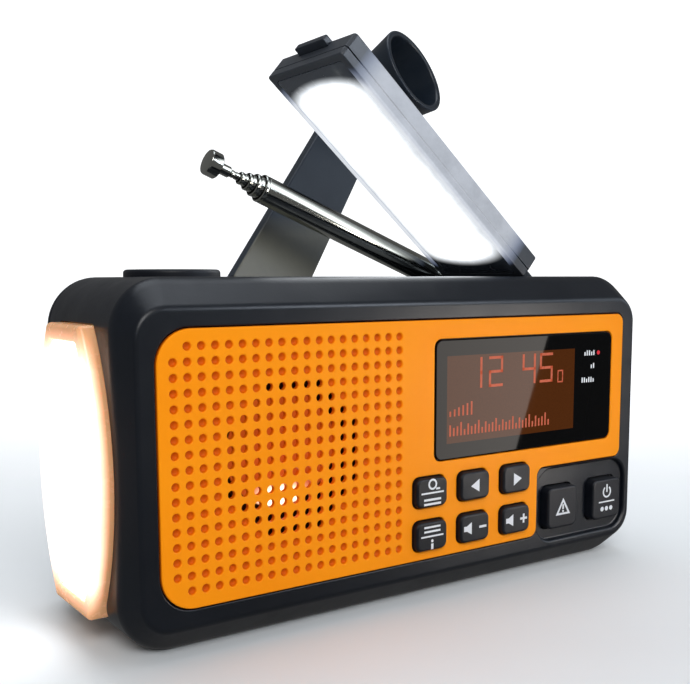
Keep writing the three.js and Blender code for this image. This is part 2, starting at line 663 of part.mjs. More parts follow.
// ---------- solar and lamp lid ----------
function addLid() {
  const lid = new THREE.Group();
  lid.position.set(LID_HINGE_X, 0, LID_HINGE_Z);
  lid.rotation.y = LID_REST;
  radio.add(lid);
  const free = LID_END - LID_LENGTH;
  const outline = (inset, r) => roundedRect(
    free + inset, -LID_HALF_W + inset, LID_END - inset, LID_HALF_W - inset, r,
  );
  const split = LID_SPLIT + GAP;
  const knuckles = [-LID_KNUCKLE_AT, LID_KNUCKLE_AT].map((y) => join(
    rodY(0, 0, LID_KNUCKLE_R, y - 2.5, y + 2.5),
    box(LID_END - 1, 0, y - 2.5, y + 2.5, -1, 1.8),
  ));
  const tab = CATCH;
  const halfTab = tab.w / 2;
  const slotHalf = halfTab + GAP;
  const catchSlot = box(free - 1, free + tab.grip + tab.travel, -slotHalf, slotHalf, tab.z - GAP, LID_TOP + 1);
  const cover = cut(
    join(prismZ(outline(0, LID_CORNER), split, LID_TOP), ...knuckles),
    prismZ(outline(LID_WALL, 1), split - 1, 0.6),
    prismZ(outline(CELL_RIM, 1.5), LID_TOP - 1.1, LID_TOP + 1),
    rodY(0, 0, LID_PIN_R + GAP, -20, 20),
    catchSlot,
  );
  addMesh(lid, 'lid_cover', cover, caseBlack);
  const cell = prismZ(outline(CELL_RIM + GAP, 1.2), LID_TOP - 0.8, LID_TOP - 0.1);
  addMesh(lid, 'solar_cell', cell, solarBlue);
  const window = prismZ(outline(LAMP_RIM, 1), LID_LOW - 1, split);
  const frame = prismZ(outline(0, LID_CORNER), LID_LOW, LID_SPLIT).subtract(window);
  addMesh(lid, 'lid_frame', frame, caseBlack);
  const diffuser = prismZ(outline(LAMP_RIM + GAP, 0.8), LID_LOW + 0.2, LID_SPLIT - 0.4);
  addMesh(lid, 'lamp_diffuser', diffuser, clearWhite);
  addMesh(lid, 'lamp_led_board', prismZ(outline(6, 1), LID_SPLIT, 0.2), nylonWhite);
  const slide = join(
    box(free - tab.out, free + tab.in, -halfTab, halfTab, tab.z, LID_TOP + 0.3),
    box(free + 2.5, free + tab.grip, -4, 4, tab.z, LID_TOP + 0.9),
  );
  addMesh(lid, 'lid_catch', slide, keyBlack);
  const pin = rodY(LID_HINGE_X, LID_HINGE_Z, LID_PIN_R, -RECESS_HALF_W - 0.6, RECESS_HALF_W + 0.5);
  addMesh(radio, 'lid_hinge_pin', pin, steel);
}

// ---------- telescopic antenna ----------
function addAntenna() {
  const f = ANTENNA_FOOT;
  const earR = ANTENNA_EAR_R;
  const bore = ANTENNA_PIN_R + GAP;
  const foot = cut(
    join(
      box(f.x0, f.x1, f.y0, f.y1, GROOVE_Z + GAP, f.baseTop),
      box(ANTENNA_X - earR, ANTENNA_X + earR, f.y0, f.y1, f.baseTop - 1, ANTENNA_Z),
      rodY(ANTENNA_X, ANTENNA_Z, earR, f.y0, f.y1),
    ),
    box(f.x0 - 6, f.x1 + 4, ANTENNA_Y - f.fork, ANTENNA_Y + f.fork, f.forkFloor, FAR),
    rodY(ANTENNA_X, ANTENNA_Z, bore, 10, 30),
  );
  addMesh(radio, 'antenna_foot', foot, steel);
  addMesh(radio, 'antenna_pin', rodY(ANTENNA_X, ANTENNA_Z, ANTENNA_PIN_R, f.y0 - 0.1, f.y1 + 0.1), steel);

  const antenna = new THREE.Group();
  antenna.position.set(ANTENNA_X, ANTENNA_Y, ANTENNA_Z);
  antenna.rotation.y = ANTENNA_REST;
  radio.add(antenna);
  const alongAntenna = (s) => s.rotate([0, 0, 90]);
  ANTENNA_RADII.forEach((r, i) => {
    const start = 5 + 2 * i;
    const end = ANTENNA_TUBE_END + ANTENNA_STEP * i + (i === 4 ? 0.6 : 0);
    const inner = r - ANTENNA_TUBE_WALL;
    const tube = i === 4
      ? [[0, start], [r, start], [r, end], [0, end]]
      : [[0, start], [r, start], [r, end], [inner, end], [inner, start + 1.6], [0, start + 1.6]];
    let section = alongAntenna(lathe(tube, 16));
    if (i === 0) {
      const t = ANTENNA_TONGUE;
      const tongue = join(rodY(0, 0, earR - 0.1, -t, t), box(-6, 0, -t, t, -2.3, 2.3));
      section = section.add(tongue).subtract(rodY(0, 0, bore, -5, 5));
    }
    addMesh(antenna, `antenna_section_${i + 1}`, section, chrome);
  });
  const neck = ANTENNA_TUBE_END + 4 * ANTENNA_STEP + 0.9;
  const capStart = ANTENNA_TIP - ANTENNA_TIP_L;
  const tip = [
    [0, neck], [1.6, neck], [1.6, capStart], [ANTENNA_TIP_R, capStart], [ANTENNA_TIP_R, ANTENNA_TIP - 0.4],
    [ANTENNA_TIP_R - 0.45, ANTENNA_TIP], [0, ANTENNA_TIP],
  ];
  addMesh(antenna, 'antenna_tip', alongAntenna(lathe(tip, 16)), chrome);
}

// ---------- hand crank ----------
function armOutline() {
  const shape = new THREE.Shape();
  const slope = (ARM_W_ROOT - ARM_W_TIP) / 2 / ARM_L;
  const tilt = Math.atan(slope);
  const tipR = ARM_W_TIP / 2;
  shape.moveTo(ARM_ROOT, ARM_W_ROOT / 2);
  shape.lineTo(ARM_ROOT, -ARM_W_ROOT / 2);
  shape.absarc(ARM_L, 0, tipR, -Math.PI / 2 + tilt, Math.PI / 2 - tilt);
  return shape;
}

function addCrank() {
  const crank = new THREE.Group();
  crank.position.set(CRANK_X, 0, CRANK_Z);
  crank.rotation.y = -CRANK_TURN;
  radio.add(crank);
  const hubFace = HALF_D + HUB_GAP;
  const hubEnd = FOLD_PIN_AT + KNUCKLE_R;
  const earSide = EAR_AT + EAR_HALF;
  const slotHalf = TONGUE_HALF + GAP;
  const pinBore = FOLD_PIN_R + GAP;
  const ears = [-EAR_AT, EAR_AT].map((z) => join(
    rodZ(FOLD_PIN_AT, FOLD_PIN_Y, KNUCKLE_R, z - EAR_HALF, z + EAR_HALF),
    box(FOLD_PIN_AT - KNUCKLE_R, hubEnd, hubFace, FOLD_PIN_Y, z - EAR_HALF, z + EAR_HALF),
  ));
  const hub = cut(
    join(
      rodY(0, 0, HUB_R, hubFace, hubFace + HUB_T, 32),
      rodY(0, 0, CRANK_SHAFT_R, CRANK_SHAFT_Y0, hubFace + 1, 16),
      box(0, hubEnd, hubFace, hubFace + HUB_T, -earSide, earSide),
      ...ears,
    ),
    box(FOLD_PIN_AT - KNUCKLE_R - 0.5, FAR, hubFace + 1, FAR, -slotHalf, slotHalf),
    rodZ(FOLD_PIN_AT, FOLD_PIN_Y, pinBore, -20, 20),
  );
  addMesh(crank, 'crank_hub', hub, caseBlack);
  const pin = rodZ(FOLD_PIN_AT, FOLD_PIN_Y, FOLD_PIN_R, -earSide + 0.2, earSide - 0.2);
  addMesh(crank, 'crank_fold_pin', pin, steel);

  const arm = new THREE.Group();
  arm.position.set(FOLD_PIN_AT, FOLD_PIN_Y, 0);
  arm.rotation.z = CRANK_LEAN;
  crank.add(arm);
  const knobTurn = 180 + THREE.MathUtils.radToDeg(KNOB_CANT);
  const atKnob = (s) => s.rotate([0, 0, knobTurn]).translate([ARM_L, ARM_FRONT, 0]);
  const armSolid = cut(
    join(
      prismY(armOutline(), ARM_FRONT, ARM_BACK, 6),
      box(0, ARM_ROOT + 1, ARM_BACK - 2.2, ARM_BACK, -TONGUE_HALF, TONGUE_HALF),
      box(2.4, ARM_ROOT + 1, ARM_FRONT, ARM_BACK, -TONGUE_HALF, TONGUE_HALF),
      rodZ(0, 0, KNUCKLE_R, -TONGUE_HALF, TONGUE_HALF),
      atKnob(rodY(0, 0, 5, -1.5, KNOB_BASE - 0.5, 20)),
    ),
    rodZ(0, 0, pinBore, -20, 20),
    atKnob(rodY(0, 0, SPINDLE_R + GAP, -1, 10)),
  );
  addMesh(arm, 'crank_arm', armSolid, caseBlack);

  const knob = new THREE.Group();
  knob.position.set(ARM_L, ARM_FRONT, 0);
  knob.rotation.z = Math.PI + KNOB_CANT;
  arm.add(knob);
  const floor = KNOB_BASE + KNOB_FLOOR;
  const profile = [
    [KNOB_BORE, KNOB_BASE], [KNOB_R_BASE, KNOB_BASE], [KNOB_R_MOUTH, KNOB_MOUTH],
    [KNOB_R_MOUTH - KNOB_WALL, KNOB_MOUTH], [KNOB_R_BASE - KNOB_WALL, floor], [KNOB_BORE, floor],
  ];
  addMesh(knob, 'crank_knob', lathe(profile, 24), caseBlack);
  const spindle = join(
    rodY(0, 0, SPINDLE_R, -0.7, floor + 1.1),
    rodY(0, 0, 4, floor + GAP, floor + 2.1, 20),
  );
  addMesh(knob, 'knob_spindle', spindle, steel);
}

// ---------- gear train and generator ----------
function addGenerator() {
  const gap = Math.PI / PINION_TEETH;
  const facing = GEAR_LINE + Math.PI + gap;
  const shaftBore = CRANK_SHAFT_R + GAP;
  const crankGear = gear(WHEEL_TEETH, GEAR_LINE, CRANK_X, CRANK_Z, CRANK_GEAR_Y[0], CRANK_GEAR_Y[1])
    .subtract(rodY(CRANK_X, CRANK_Z, shaftBore, 10, 40));
  addMesh(radio, 'crank_gear', crankGear, nylonWhite);
  const middle = join(
    gear(WHEEL_TEETH, GEAR_LINE, MIDDLE_X, MIDDLE_Z, MIDDLE_WHEEL_Y[0], MIDDLE_WHEEL_Y[1]),
    gear(PINION_TEETH, facing, MIDDLE_X, MIDDLE_Z, MIDDLE_WHEEL_Y[1], MIDDLE_PINION_END),
    rodY(MIDDLE_X, MIDDLE_Z, AXLE_R, MIDDLE_AXLE_Y[0], MIDDLE_AXLE_Y[1], 12),
  );
  addMesh(radio, 'middle_gear', middle, nylonWhite);
  const pinion = join(
    gear(PINION_TEETH, facing, PINION_X, PINION_Z, PINION_Y[0], PINION_Y[1]),
    rodY(PINION_X, PINION_Z, AXLE_R, PINION_AXLE_Y[0], PINION_AXLE_Y[1], 12),
  );
  addMesh(radio, 'generator_pinion', pinion, steel);
  const can = rodY(PINION_X, PINION_Z, GENERATOR_R, GENERATOR_Y[0], GENERATOR_Y[1], 28)
    .subtract(rodY(PINION_X, PINION_Z, AXLE_R + GAP, 10, 20, 12));
  addMesh(radio, 'generator', can, steel);
  const outline = new THREE.Shape(GEAR_PLATE_OUTLINE.map(([x, z]) => new THREE.Vector2(x, z)));
  const posts = GEAR_PLATE_POSTS.map(
    ([x, z]) => rodY(x, z, GEAR_PLATE_POST_R, GEAR_PLATE_Y[0] + 1, MIDDLE_AXLE_Y[1], 12),
  );
  const plate = cut(
    join(prismY(outline, GEAR_PLATE_Y[0], GEAR_PLATE_Y[1]), ...posts),
    rodY(CRANK_X, CRANK_Z, shaftBore, 10, 40),
    rodY(MIDDLE_X, MIDDLE_Z, AXLE_R + GAP, 10, 40, 12),
    rodY(PINION_X, PINION_Z, 2 * AXLE_R, 10, 40, 12),
  );
  addMesh(radio, 'gear_plate', plate, steel);
}

// ---------- power and ports ----------
function addPower() {
  const b = BATTERY;
  const c = CRADLE;
  addMesh(radio, 'battery_cell', rodX(b.y, b.z, BATTERY_R, b.x0, b.x1, 24), cellGreen);
  const cradle = cut(
    box(b.x0 - c.wall, b.x1 + c.wall, b.y - c.half, b.y + c.half, WALL + GAP, c.top),
    rodX(b.y, b.z, BATTERY_R + GAP, b.x0 - 5, b.x1 + 5, 24),
  );
  addMesh(radio, 'battery_cradle', cradle, nylonWhite);
  const p = PORT;
  const socket = ([x0, x1, z0, z1]) => box(x0, x1, SOCKET_Y[0], SOCKET_Y[1], z0, z1);
  const mouth = ([x0, x1, z0, z1]) => box(x0, x1, SOCKET_MOUTH_Y, SOCKET_Y[1] + 1, z0, z1);
  const sockets = cut(
    join(
      box(p.x0 + 1, p.x1 - 1, PORT_BOARD_Y[0], PORT_BOARD_Y[1], p.z0 - 1, p.z1 + 1),
      socket(WIDE_SOCKET),
      socket(NARROW_SOCKET),
    ),
    mouth(WIDE_MOUTH),
    mouth(NARROW_MOUTH),
  );
  addMesh(radio, 'usb_board', sockets, boardGreen);
  const flap = box(p.x0 + GAP, p.x1 - GAP, HALF_D - 1 + GAP, HALF_D + GAP, p.z0 + GAP, p.z1 - GAP);
  addMesh(radio, 'port_cover', flap, rubber);
}

function addScrews() {
  SCREW_SPOTS.forEach(([x, z], i) => {
    const head = rodY(x, z, SCREW_HEAD_R, HALF_D - 1.3, HALF_D - 0.2, 12);
    const shank = rodY(x, z, SCREW_R, SCREW_START, HALF_D - 1, 12);
    const slot = box(x - 1.7, x + 1.7, HALF_D - 0.7, HALF_D, z - 0.3, z + 0.3);
    addMesh(radio, `case_screw_${i + 1}`, head.add(shank).subtract(slot), steel);
  });
}

addShells();
addFrontPlate();
addElectronics();
addKeys();
addSpeaker();
addTorch();
addButton();
addLid();
addAntenna();
addCrank();
addGenerator();
addPower();
addScrews();

export default radio;
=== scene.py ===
import json
import math

import bpy
from mathutils import Matrix, Vector


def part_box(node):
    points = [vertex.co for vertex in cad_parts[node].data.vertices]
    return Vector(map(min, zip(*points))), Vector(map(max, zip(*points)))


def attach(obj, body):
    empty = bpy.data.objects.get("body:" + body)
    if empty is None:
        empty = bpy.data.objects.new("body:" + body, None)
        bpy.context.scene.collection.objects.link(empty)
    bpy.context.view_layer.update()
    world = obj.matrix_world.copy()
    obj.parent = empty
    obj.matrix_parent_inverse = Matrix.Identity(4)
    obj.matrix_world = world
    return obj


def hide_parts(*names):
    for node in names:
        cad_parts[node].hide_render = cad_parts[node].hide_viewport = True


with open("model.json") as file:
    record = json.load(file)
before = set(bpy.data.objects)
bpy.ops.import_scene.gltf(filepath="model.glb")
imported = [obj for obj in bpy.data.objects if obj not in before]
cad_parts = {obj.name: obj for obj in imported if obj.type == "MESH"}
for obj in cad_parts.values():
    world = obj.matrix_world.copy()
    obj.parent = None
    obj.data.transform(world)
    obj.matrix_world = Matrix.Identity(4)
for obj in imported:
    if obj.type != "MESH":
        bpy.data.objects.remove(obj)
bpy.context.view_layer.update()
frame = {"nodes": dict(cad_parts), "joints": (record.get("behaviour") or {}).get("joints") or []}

MM = 0.001


# ---------- places read from the frame ----------
def span(*names):
    """Lowest and highest corner of CAD nodes, in millimetres."""
    boxes = [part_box(name) for name in names]
    low = Vector([min(b[0][i] for b in boxes) for i in range(3)]) / MM
    high = Vector([max(b[1][i] for b in boxes) for i in range(3)]) / MM
    return low, high


def centre_xz(name):
    low, high = span(name)
    return (low.x + high.x) / 2, (low.z + high.z) / 2


JOINTS = {joint["name"]: joint for joint in frame["joints"]}


def pivot(name):
    return Vector(JOINTS[name]["pos_m"]) / MM


def axis(name):
    return Vector(JOINTS[name]["axis"]).normalized()


def axes_frame(origin, x_axis, y_axis, z_axis):
    """Matrix that takes local (u, v, w) to the row frame."""
    turn = Matrix((x_axis, y_axis, z_axis)).transposed().to_4x4()
    return Matrix.Translation(origin) @ turn


X_AXIS = Vector((1, 0, 0))
Y_AXIS = Vector((0, 1, 0))
Z_AXIS = Vector((0, 0, 1))
ORIGIN = Vector((0, 0, 0))
FACING_FRONT = axes_frame(ORIGIN, X_AXIS, Z_AXIS, -Y_AXIS)     # w is the distance towards the front
FACING_BACK = axes_frame(ORIGIN, -X_AXIS, Z_AXIS, Y_AXIS)
FACING_LEFT = axes_frame(ORIGIN, -Y_AXIS, Z_AXIS, -X_AXIS)
FACING_RIGHT = axes_frame(ORIGIN, Y_AXIS, Z_AXIS, X_AXIS)
FACING_UP = Matrix.Identity(4)
SIDEWAYS = axes_frame(ORIGIN, Z_AXIS, X_AXIS, Y_AXIS)          # local u, v and w run along z, x and y

# case
CASE_HIGH = span("front_shell", "rear_shell")[1]
HALF_W = CASE_HIGH.x
HALF_D = CASE_HIGH.y
CASE_H = CASE_HIGH.z
SEAM_FRONT = span("front_shell")[1].y
SEAM_REAR = span("rear_shell")[0].y
CORNER_R = 12.5
FACE_R = 7.0
BEVEL_D = 6.9
BEVEL_SIDE = 2.9
BEVEL_TOP = 6.7
WALL = 2.2
FACE_WALL = 3.0
GAP = 0.3

# lid, antenna and crank frames at rest
LID_X = axis("lid_catch_slide")
LID = axes_frame(pivot("lid_hinge"), LID_X, Y_AXIS, LID_X.cross(Y_AXIS))
ANTENNA_X = -axis("antenna_slide_2")
ANTENNA = axes_frame(pivot("antenna_tilt"), ANTENNA_X, Y_AXIS, ANTENNA_X.cross(Y_AXIS))
FOLD = pivot("crank_fold")
HUB = pivot("crank_turn")
HUB_Z = axis("crank_fold")
HUB_X = Y_AXIS.cross(HUB_Z)
CRANK = axes_frame(HUB, HUB_X, Y_AXIS, HUB_Z)
ARM_FRONT = 4.8
ARM_BACK = 0.4
TO_KNOB = pivot("knob_spin") - FOLD
ARM_L = math.sqrt(TO_KNOB.length ** 2 - ARM_FRONT ** 2)
KNOB_AXIS = axis("knob_spin")
ARM_X = (Matrix.Rotation(math.atan2(ARM_FRONT, ARM_L), 3, HUB_Z) @ TO_KNOB).normalized()
ARM_W = ARM_X.cross(HUB_Z)
ARM = axes_frame(FOLD, ARM_X, HUB_Z, ARM_W)          # w is the distance towards the knob side
KNOB = axes_frame(pivot("knob_spin"), HUB_Z.cross(KNOB_AXIS), HUB_Z, KNOB_AXIS)


# ---------- outlines ----------
def filleted(points, radii, steps=8):
    """Outline of a polygon given anticlockwise, with rounded corners; it can be called with an inset."""
    points = [Vector(p) for p in points]

    def outline(inset=0.0):
        ring = []
        for i, corner in enumerate(points):
            before = (corner - points[i - 1]).normalized()
            after = (points[(i + 1) % len(points)] - corner).normalized()
            normal_a = Vector((-before.y, before.x))
            normal_b = Vector((-after.y, after.x))
            middle = (normal_a + normal_b) / (1 + normal_a.dot(normal_b))
            moved = corner + inset * middle
            side = 1 if before.x * after.y - before.y * after.x > 0 else -1
            if radii[i] <= 0:
                ring.append((moved.x, moved.y))
                continue
            r = max(radii[i] - side * inset, 0.02)
            centre = moved + middle * r * side
            start = math.atan2(-side * normal_a.y, -side * normal_a.x)
            sweep = math.atan2(-side * normal_b.y, -side * normal_b.x) - start
            sweep = (sweep + math.pi) % (2 * math.pi) - math.pi
            for k in range(steps + 1):
                angle = start + sweep * k / steps
                ring.append((centre.x + r * math.cos(angle), centre.y + r * math.sin(angle)))
        return ring

    return outline


def bar(u0, u1, v0, v1):
    return [(u0, v0), (u1, v0), (u1, v1), (u0, v1)]


def rounded_rect(u0, u1, v0, v1, radius, steps=8):
    return filleted(bar(u0, u1, v0, v1), [radius] * 4, steps)


def circle(radius, steps=48, centre=(0, 0)):
    def outline(inset=0.0):
        r = radius - inset
        turn = [2 * math.pi * k / steps for k in range(steps)]
        return [(centre[0] + r * math.cos(a), centre[1] + r * math.sin(a)) for a in turn]

    return outline


# ---------- levels: (inset, height) pairs from bottom to top ----------
def arc(steps, sweep=math.pi / 2):
    """Angles at even steps from 0 to the sweep."""
    return [sweep * k / steps for k in range(steps + 1)]


def slab(low, high, low_r=0.3, high_r=0.3, steps=4):
    """A plate between two heights with rounded lower and upper edges."""
    lower = [(low_r * (1 - math.sin(a)), low + low_r * (1 - math.cos(a))) for a in arc(steps)]
    upper = [(high_r * (1 - math.cos(a)), high - high_r * (1 - math.sin(a))) for a in arc(steps)]
    return lower + upper


FLARE = math.radians(78)        # how far a well's lip turns towards the face


def well(floor, face, lip=0.4, floor_r=0.2, reach=2.0):
    """A cutting tool: rounded at its floor, flared where it leaves the face."""
    lower = [(floor_r * (1 - math.sin(a)), floor + floor_r * (1 - math.cos(a))) for a in arc(4)]
    flare = [(-lip * (1 - math.cos(a)), face - lip + lip * math.sin(a)) for a in arc(4, FLARE)]
    return lower + flare + [(-lip, face + reach)]


# ---------- meshes ----------
def mesh_object(name, vertices, faces):
    mesh = bpy.data.meshes.new(name)
    mesh.from_pydata([tuple(Vector(v) * MM) for v in vertices], [], faces)
    mesh.update()
    obj = bpy.data.objects.new(name, mesh)
    bpy.context.scene.collection.objects.link(obj)
    return obj


def skin(rings, closed=False):
    """Vertices and faces of a solid skinned through matching rings; closed joins the last to the first."""
    count = len(rings[0])
    vertices = [v for ring in rings for v in ring]
    faces = []
    layers = len(rings) if closed else len(rings) - 1
    for layer in range(layers):
        a0 = layer * count
        b0 = (layer + 1) % len(rings) * count
        for i in range(count):
            j = (i + 1) % count
            faces.append((a0 + i, a0 + j, b0 + j, b0 + i))
    if not closed:
        faces.append(tuple(reversed(range(count))))
        top = (len(rings) - 1) * count
        faces.append(tuple(range(top, top + count)))
    return vertices, faces


def stack(name, outline, levels, place=FACING_UP, closed=False):
    """A solid whose section is the outline, inset and raised level by level."""
    rings = []
    for inset, height in levels:
        rings.append([place @ Vector((u, v, height)) for u, v in outline(inset)])
    return mesh_object(name, *skin(rings, closed))


def brick(name, section, levels, place=FACING_UP):
    """A solid over a rounded rectangle; the section is what rounded_rect() takes."""
    return stack(name, rounded_rect(*section), levels, place)


CUT_FACE = [(0, 24), (0, 30)]           # levels of a cut right through the front or rear wall
CUT_ACROSS = [(0, -20), (0, 20)]        # and of a bore right through a hinge


def raised(profile, height):
    """Pairs whose heights are counted from another height."""
    return [(r, height + h) for r, h in profile]


def turned(name, profile, place=FACING_UP, steps=48, closed=False):
    """A solid of revolution about local w from (radius, height) pairs."""
    round_ring = circle(0, steps)
    return stack(name, round_ring, [(-r, height) for r, height in profile], place, closed)


def round_profile(points, radius, steps=4):
    """A profile's inner corners replaced by short arcs of roughly that radius."""
    smooth = [points[0]]
    for before, corner, after in zip(points, points[1:], points[2:]):
        p, c, n = Vector(before), Vector(corner), Vector(after)
        reach = min(radius, (p - c).length * 0.45, (n - c).length * 0.45)
        start = c + (p - c).normalized() * reach
        end = c + (n - c).normalized() * reach
        for k in range(steps + 1):
            t = k / steps
            smooth.append(tuple(start * (1 - t) ** 2 + c * 2 * t * (1 - t) + end * t * t))
    smooth.append(points[-1])
    return smooth


def settle(obj):
    """Applies the object's modifiers to its mesh."""
    bpy.context.view_layer.update()
    graph = bpy.context.evaluated_depsgraph_get()
    mesh = bpy.data.meshes.new_from_object(obj.evaluated_get(graph))
    obj.modifiers.clear()
    obj.data = mesh
    return obj


def combine(obj, others, operation):
    for other in others:
        modifier = obj.modifiers.new("boolean", "BOOLEAN")
        modifier.operation = operation
        modifier.solver = "EXACT"
        modifier.object = other
        settle(obj)
        bpy.data.objects.remove(other)
    return obj


def carve(obj, *cutters):
    return combine(obj, cutters, "DIFFERENCE")


def weld(obj, *others):
    return combine(obj, others, "UNION")


def gather(name, parts):
    """Several objects as one mesh, unjoined."""
    vertices = []
    faces = []
    for part in parts:
        base = len(vertices)
        vertices.extend(v.co / MM for v in part.data.vertices)
        faces.extend(tuple(base + i for i in face.vertices) for face in part.data.polygons)
        bpy.data.objects.remove(part)
    return mesh_object(name, vertices, faces)


SOFT_ANGLE = math.radians(38)


def finish_piece(obj, body, look, replaced=()):
    """Smooth shading, a material, and a place on a body."""
    obj.data.shade_smooth()
    obj.data.set_sharp_from_angle(angle=SOFT_ANGLE)
    normals = obj.modifiers.new("normals", "WEIGHTED_NORMAL")
    normals.weight = 90
    normals.keep_sharp = True
    settle(obj)
    obj.data.materials.clear()
    obj.data.materials.append(look)
    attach(obj, body)
    if replaced:
        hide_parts(*replaced)
    return obj


def cad_look(node, look):
    """A better material on a CAD node that keeps its shape."""
    materials = frame["nodes"][node].data.materials
    materials.clear()
    materials.append(look)


# ---------- measures of the pieces ----------
HINGE = pivot("lid_hinge")
LID_HALF_W = span("lid_cover")[1].y
LID_L = 85.0
LID_LOW_W = -3.9
LID_SPLIT = -1.4
LID_TOP = 3.5
LAMP_RIM = 2.2              # width of the frame round the lamp
LID_END = -9.3
LID_FREE = LID_END - LID_L
RECESS_X0 = HINGE.x + LID_FREE - 0.6
RECESS_X1 = HINGE.x + 4.3
RECESS_HALF_W = LID_HALF_W + 0.35
RECESS_FLOOR = 77.9
GROOVE_Y = 19.9
GROOVE_Z = 79.0
POCKET = dict(x0=59.5, y0=5.0, z0=13.5, z1=45.5)
BUTTON_LOW, BUTTON_HIGH = span("lamp_button")
BUTTON_X = (BUTTON_LOW.x + BUTTON_HIGH.x) / 2
BUTTON_R = (BUTTON_HIGH.x - BUTTON_LOW.x) / 2 - 1.1
PLATE_LOW, PLATE_HIGH = span("front_plate")
PANEL_LEFT = 40.2
PANEL_TOP = 30.8
POCKET_FLOOR = HALF_D - 1.4
PANEL_FLOOR = HALF_D - 1.7
WINDOW_LOW, WINDOW_HIGH = span("display_window")
TORCH_LOW, TORCH_HIGH = span("torch_bezel")
TORCH_Z = (TORCH_LOW.z + TORCH_HIGH.z) / 2
TORCH_HALF_H = (TORCH_HIGH.z - TORCH_LOW.z) / 2
TORCH_MID_Y = TORCH_HIGH.y
TORCH_END_Y = 11.2
SMALL_KEYS = ["key_scan", "key_previous", "key_next", "key_menu", "key_volume_down", "key_volume_up"]
BIG_KEYS = ["key_alarm", "key_power"]
KEY_RIM = 0.9
KEY_BACK = 23.8             # where the flange behind a key starts


# ---------- material nodes ----------
class Look:
    """A procedural material, built step by step."""

    def __init__(self, name):
        self.material = bpy.data.materials.new(name)
        self.material.use_nodes = True
        self.tree = self.material.node_tree
        self.shader = self.tree.nodes["Principled BSDF"]
        self.place = self.node("ShaderNodeTexCoord").outputs["Object"]

    def node(self, kind, **values):
        made = self.tree.nodes.new(kind)
        for key, value in values.items():
            setattr(made, key, value)
        return made

    def wire(self, source, target):
        self.tree.links.new(source, target)

    def noise(self, scale, detail=3.0, rough=0.55, stretch=(1, 1, 1)):
        mapping = self.node("ShaderNodeMapping")
        mapping.inputs["Scale"].default_value = stretch
        self.wire(self.place, mapping.inputs["Vector"])
        made = self.node("ShaderNodeTexNoise")
        made.inputs["Scale"].default_value = scale
        made.inputs["Detail"].default_value = detail
        made.inputs["Roughness"].default_value = rough
        self.wire(mapping.outputs["Vector"], made.inputs["Vector"])
        return made.outputs["Fac"]

    def grains(self, scale):
        made = self.node("ShaderNodeTexVoronoi", feature="SMOOTH_F1")
        made.inputs["Scale"].default_value = scale
        self.wire(self.place, made.inputs["Vector"])
        return made.outputs["Distance"]

    def remap(self, source, from_low, from_high, to_low, to_high):
        made = self.node("ShaderNodeMapRange")
        names = ("From Min", "From Max", "To Min", "To Max")
        for key, value in zip(names, (from_low, from_high, to_low, to_high)):
            made.inputs[key].default_value = value
        self.wire(source, made.inputs["Value"])
        return made.outputs["Result"]

    def math(self, operation, a, b=None):
        made = self.node("ShaderNodeMath", operation=operation)
        for socket, value in zip(made.inputs, (a, b)):
            if isinstance(value, (int, float)):
                socket.default_value = value
            elif value is not None:
                self.wire(value, socket)
        return made.outputs["Value"]

    def times(self, a, b):
        return self.math("MULTIPLY", a, b)

    def apart(self, a, b):
        return self.math("ABSOLUTE", self.math("SUBTRACT", a, b))

    def vector(self, operation, a, b=None, result="Value"):
        made = self.node("ShaderNodeVectorMath", operation=operation)
        for socket, value in zip(made.inputs, (a, b)):
            if isinstance(value, tuple):
                socket.default_value = value
            elif value is not None:
                self.wire(value, socket)
        return made.outputs[result]

    def parts(self, source=None):
        """The X, Y and Z of a vector, or of the place itself."""
        made = self.node("ShaderNodeSeparateXYZ")
        self.wire(self.place if source is None else source, made.inputs[0])
        return made.outputs

    def vary(self, low, high, *noise):
        """Noise spread between two values; the rest is what noise() takes."""
        return self.remap(self.noise(*noise), 0.3, 0.7, low, high)

    def mix(self, factor, a, b):
        """Colour a where factor is 0 and b where it is 1."""
        made = self.node("ShaderNodeMix", data_type="RGBA")
        self.wire(factor, made.inputs["Factor"])
        for socket, value in ((made.inputs[6], a), (made.inputs[7], b)):
            if isinstance(value, tuple):
                socket.default_value = (*value, 1)
            else:
                self.wire(value, socket)
        return made.outputs[2]

    def edges(self, width):
        """About 1 on outer and inner edges within that many millimetres, 0 on open faces."""
        bevel = self.node("ShaderNodeBevel", samples=6)
        bevel.inputs["Radius"].default_value = width * MM
        geometry = self.node("ShaderNodeNewGeometry")
        dot = self.vector("DOT_PRODUCT", bevel.outputs["Normal"], geometry.outputs["Normal"])
        return self.remap(dot, 0.97, 0.75, 0, 1)

    def bump(self, height, depth, strength):
        """Adds a bump of that depth in millimetres."""
        made = self.node("ShaderNodeBump")
        made.inputs["Distance"].default_value = depth * MM
        made.inputs["Strength"].default_value = strength
        self.wire(height, made.inputs["Height"])
        self.wire(made.outputs["Normal"], self.shader.inputs["Normal"])
        return self

    def set(self, **values):
        """Sockets by name, with _ for a space; a number or colour is set on the shader's own socket."""
        for key, value in values.items():
            socket = self.shader.inputs[key.replace("_", " ")]
            if isinstance(value, tuple) and socket.type == "RGBA":
                socket.default_value = (*value, 1)
            elif isinstance(value, (int, float, tuple)):
                socket.default_value = value
            else:
                self.wire(value, socket)
        return self


def moulding(name, base, tint):
    """The start of a plastic: its look, a slowly drifting colour and a smear pattern."""
    look = Look(name)
    return look, look.mix(look.vary(0, 1, 28, 4), base, tint), look.noise(90, 5, 0.7)


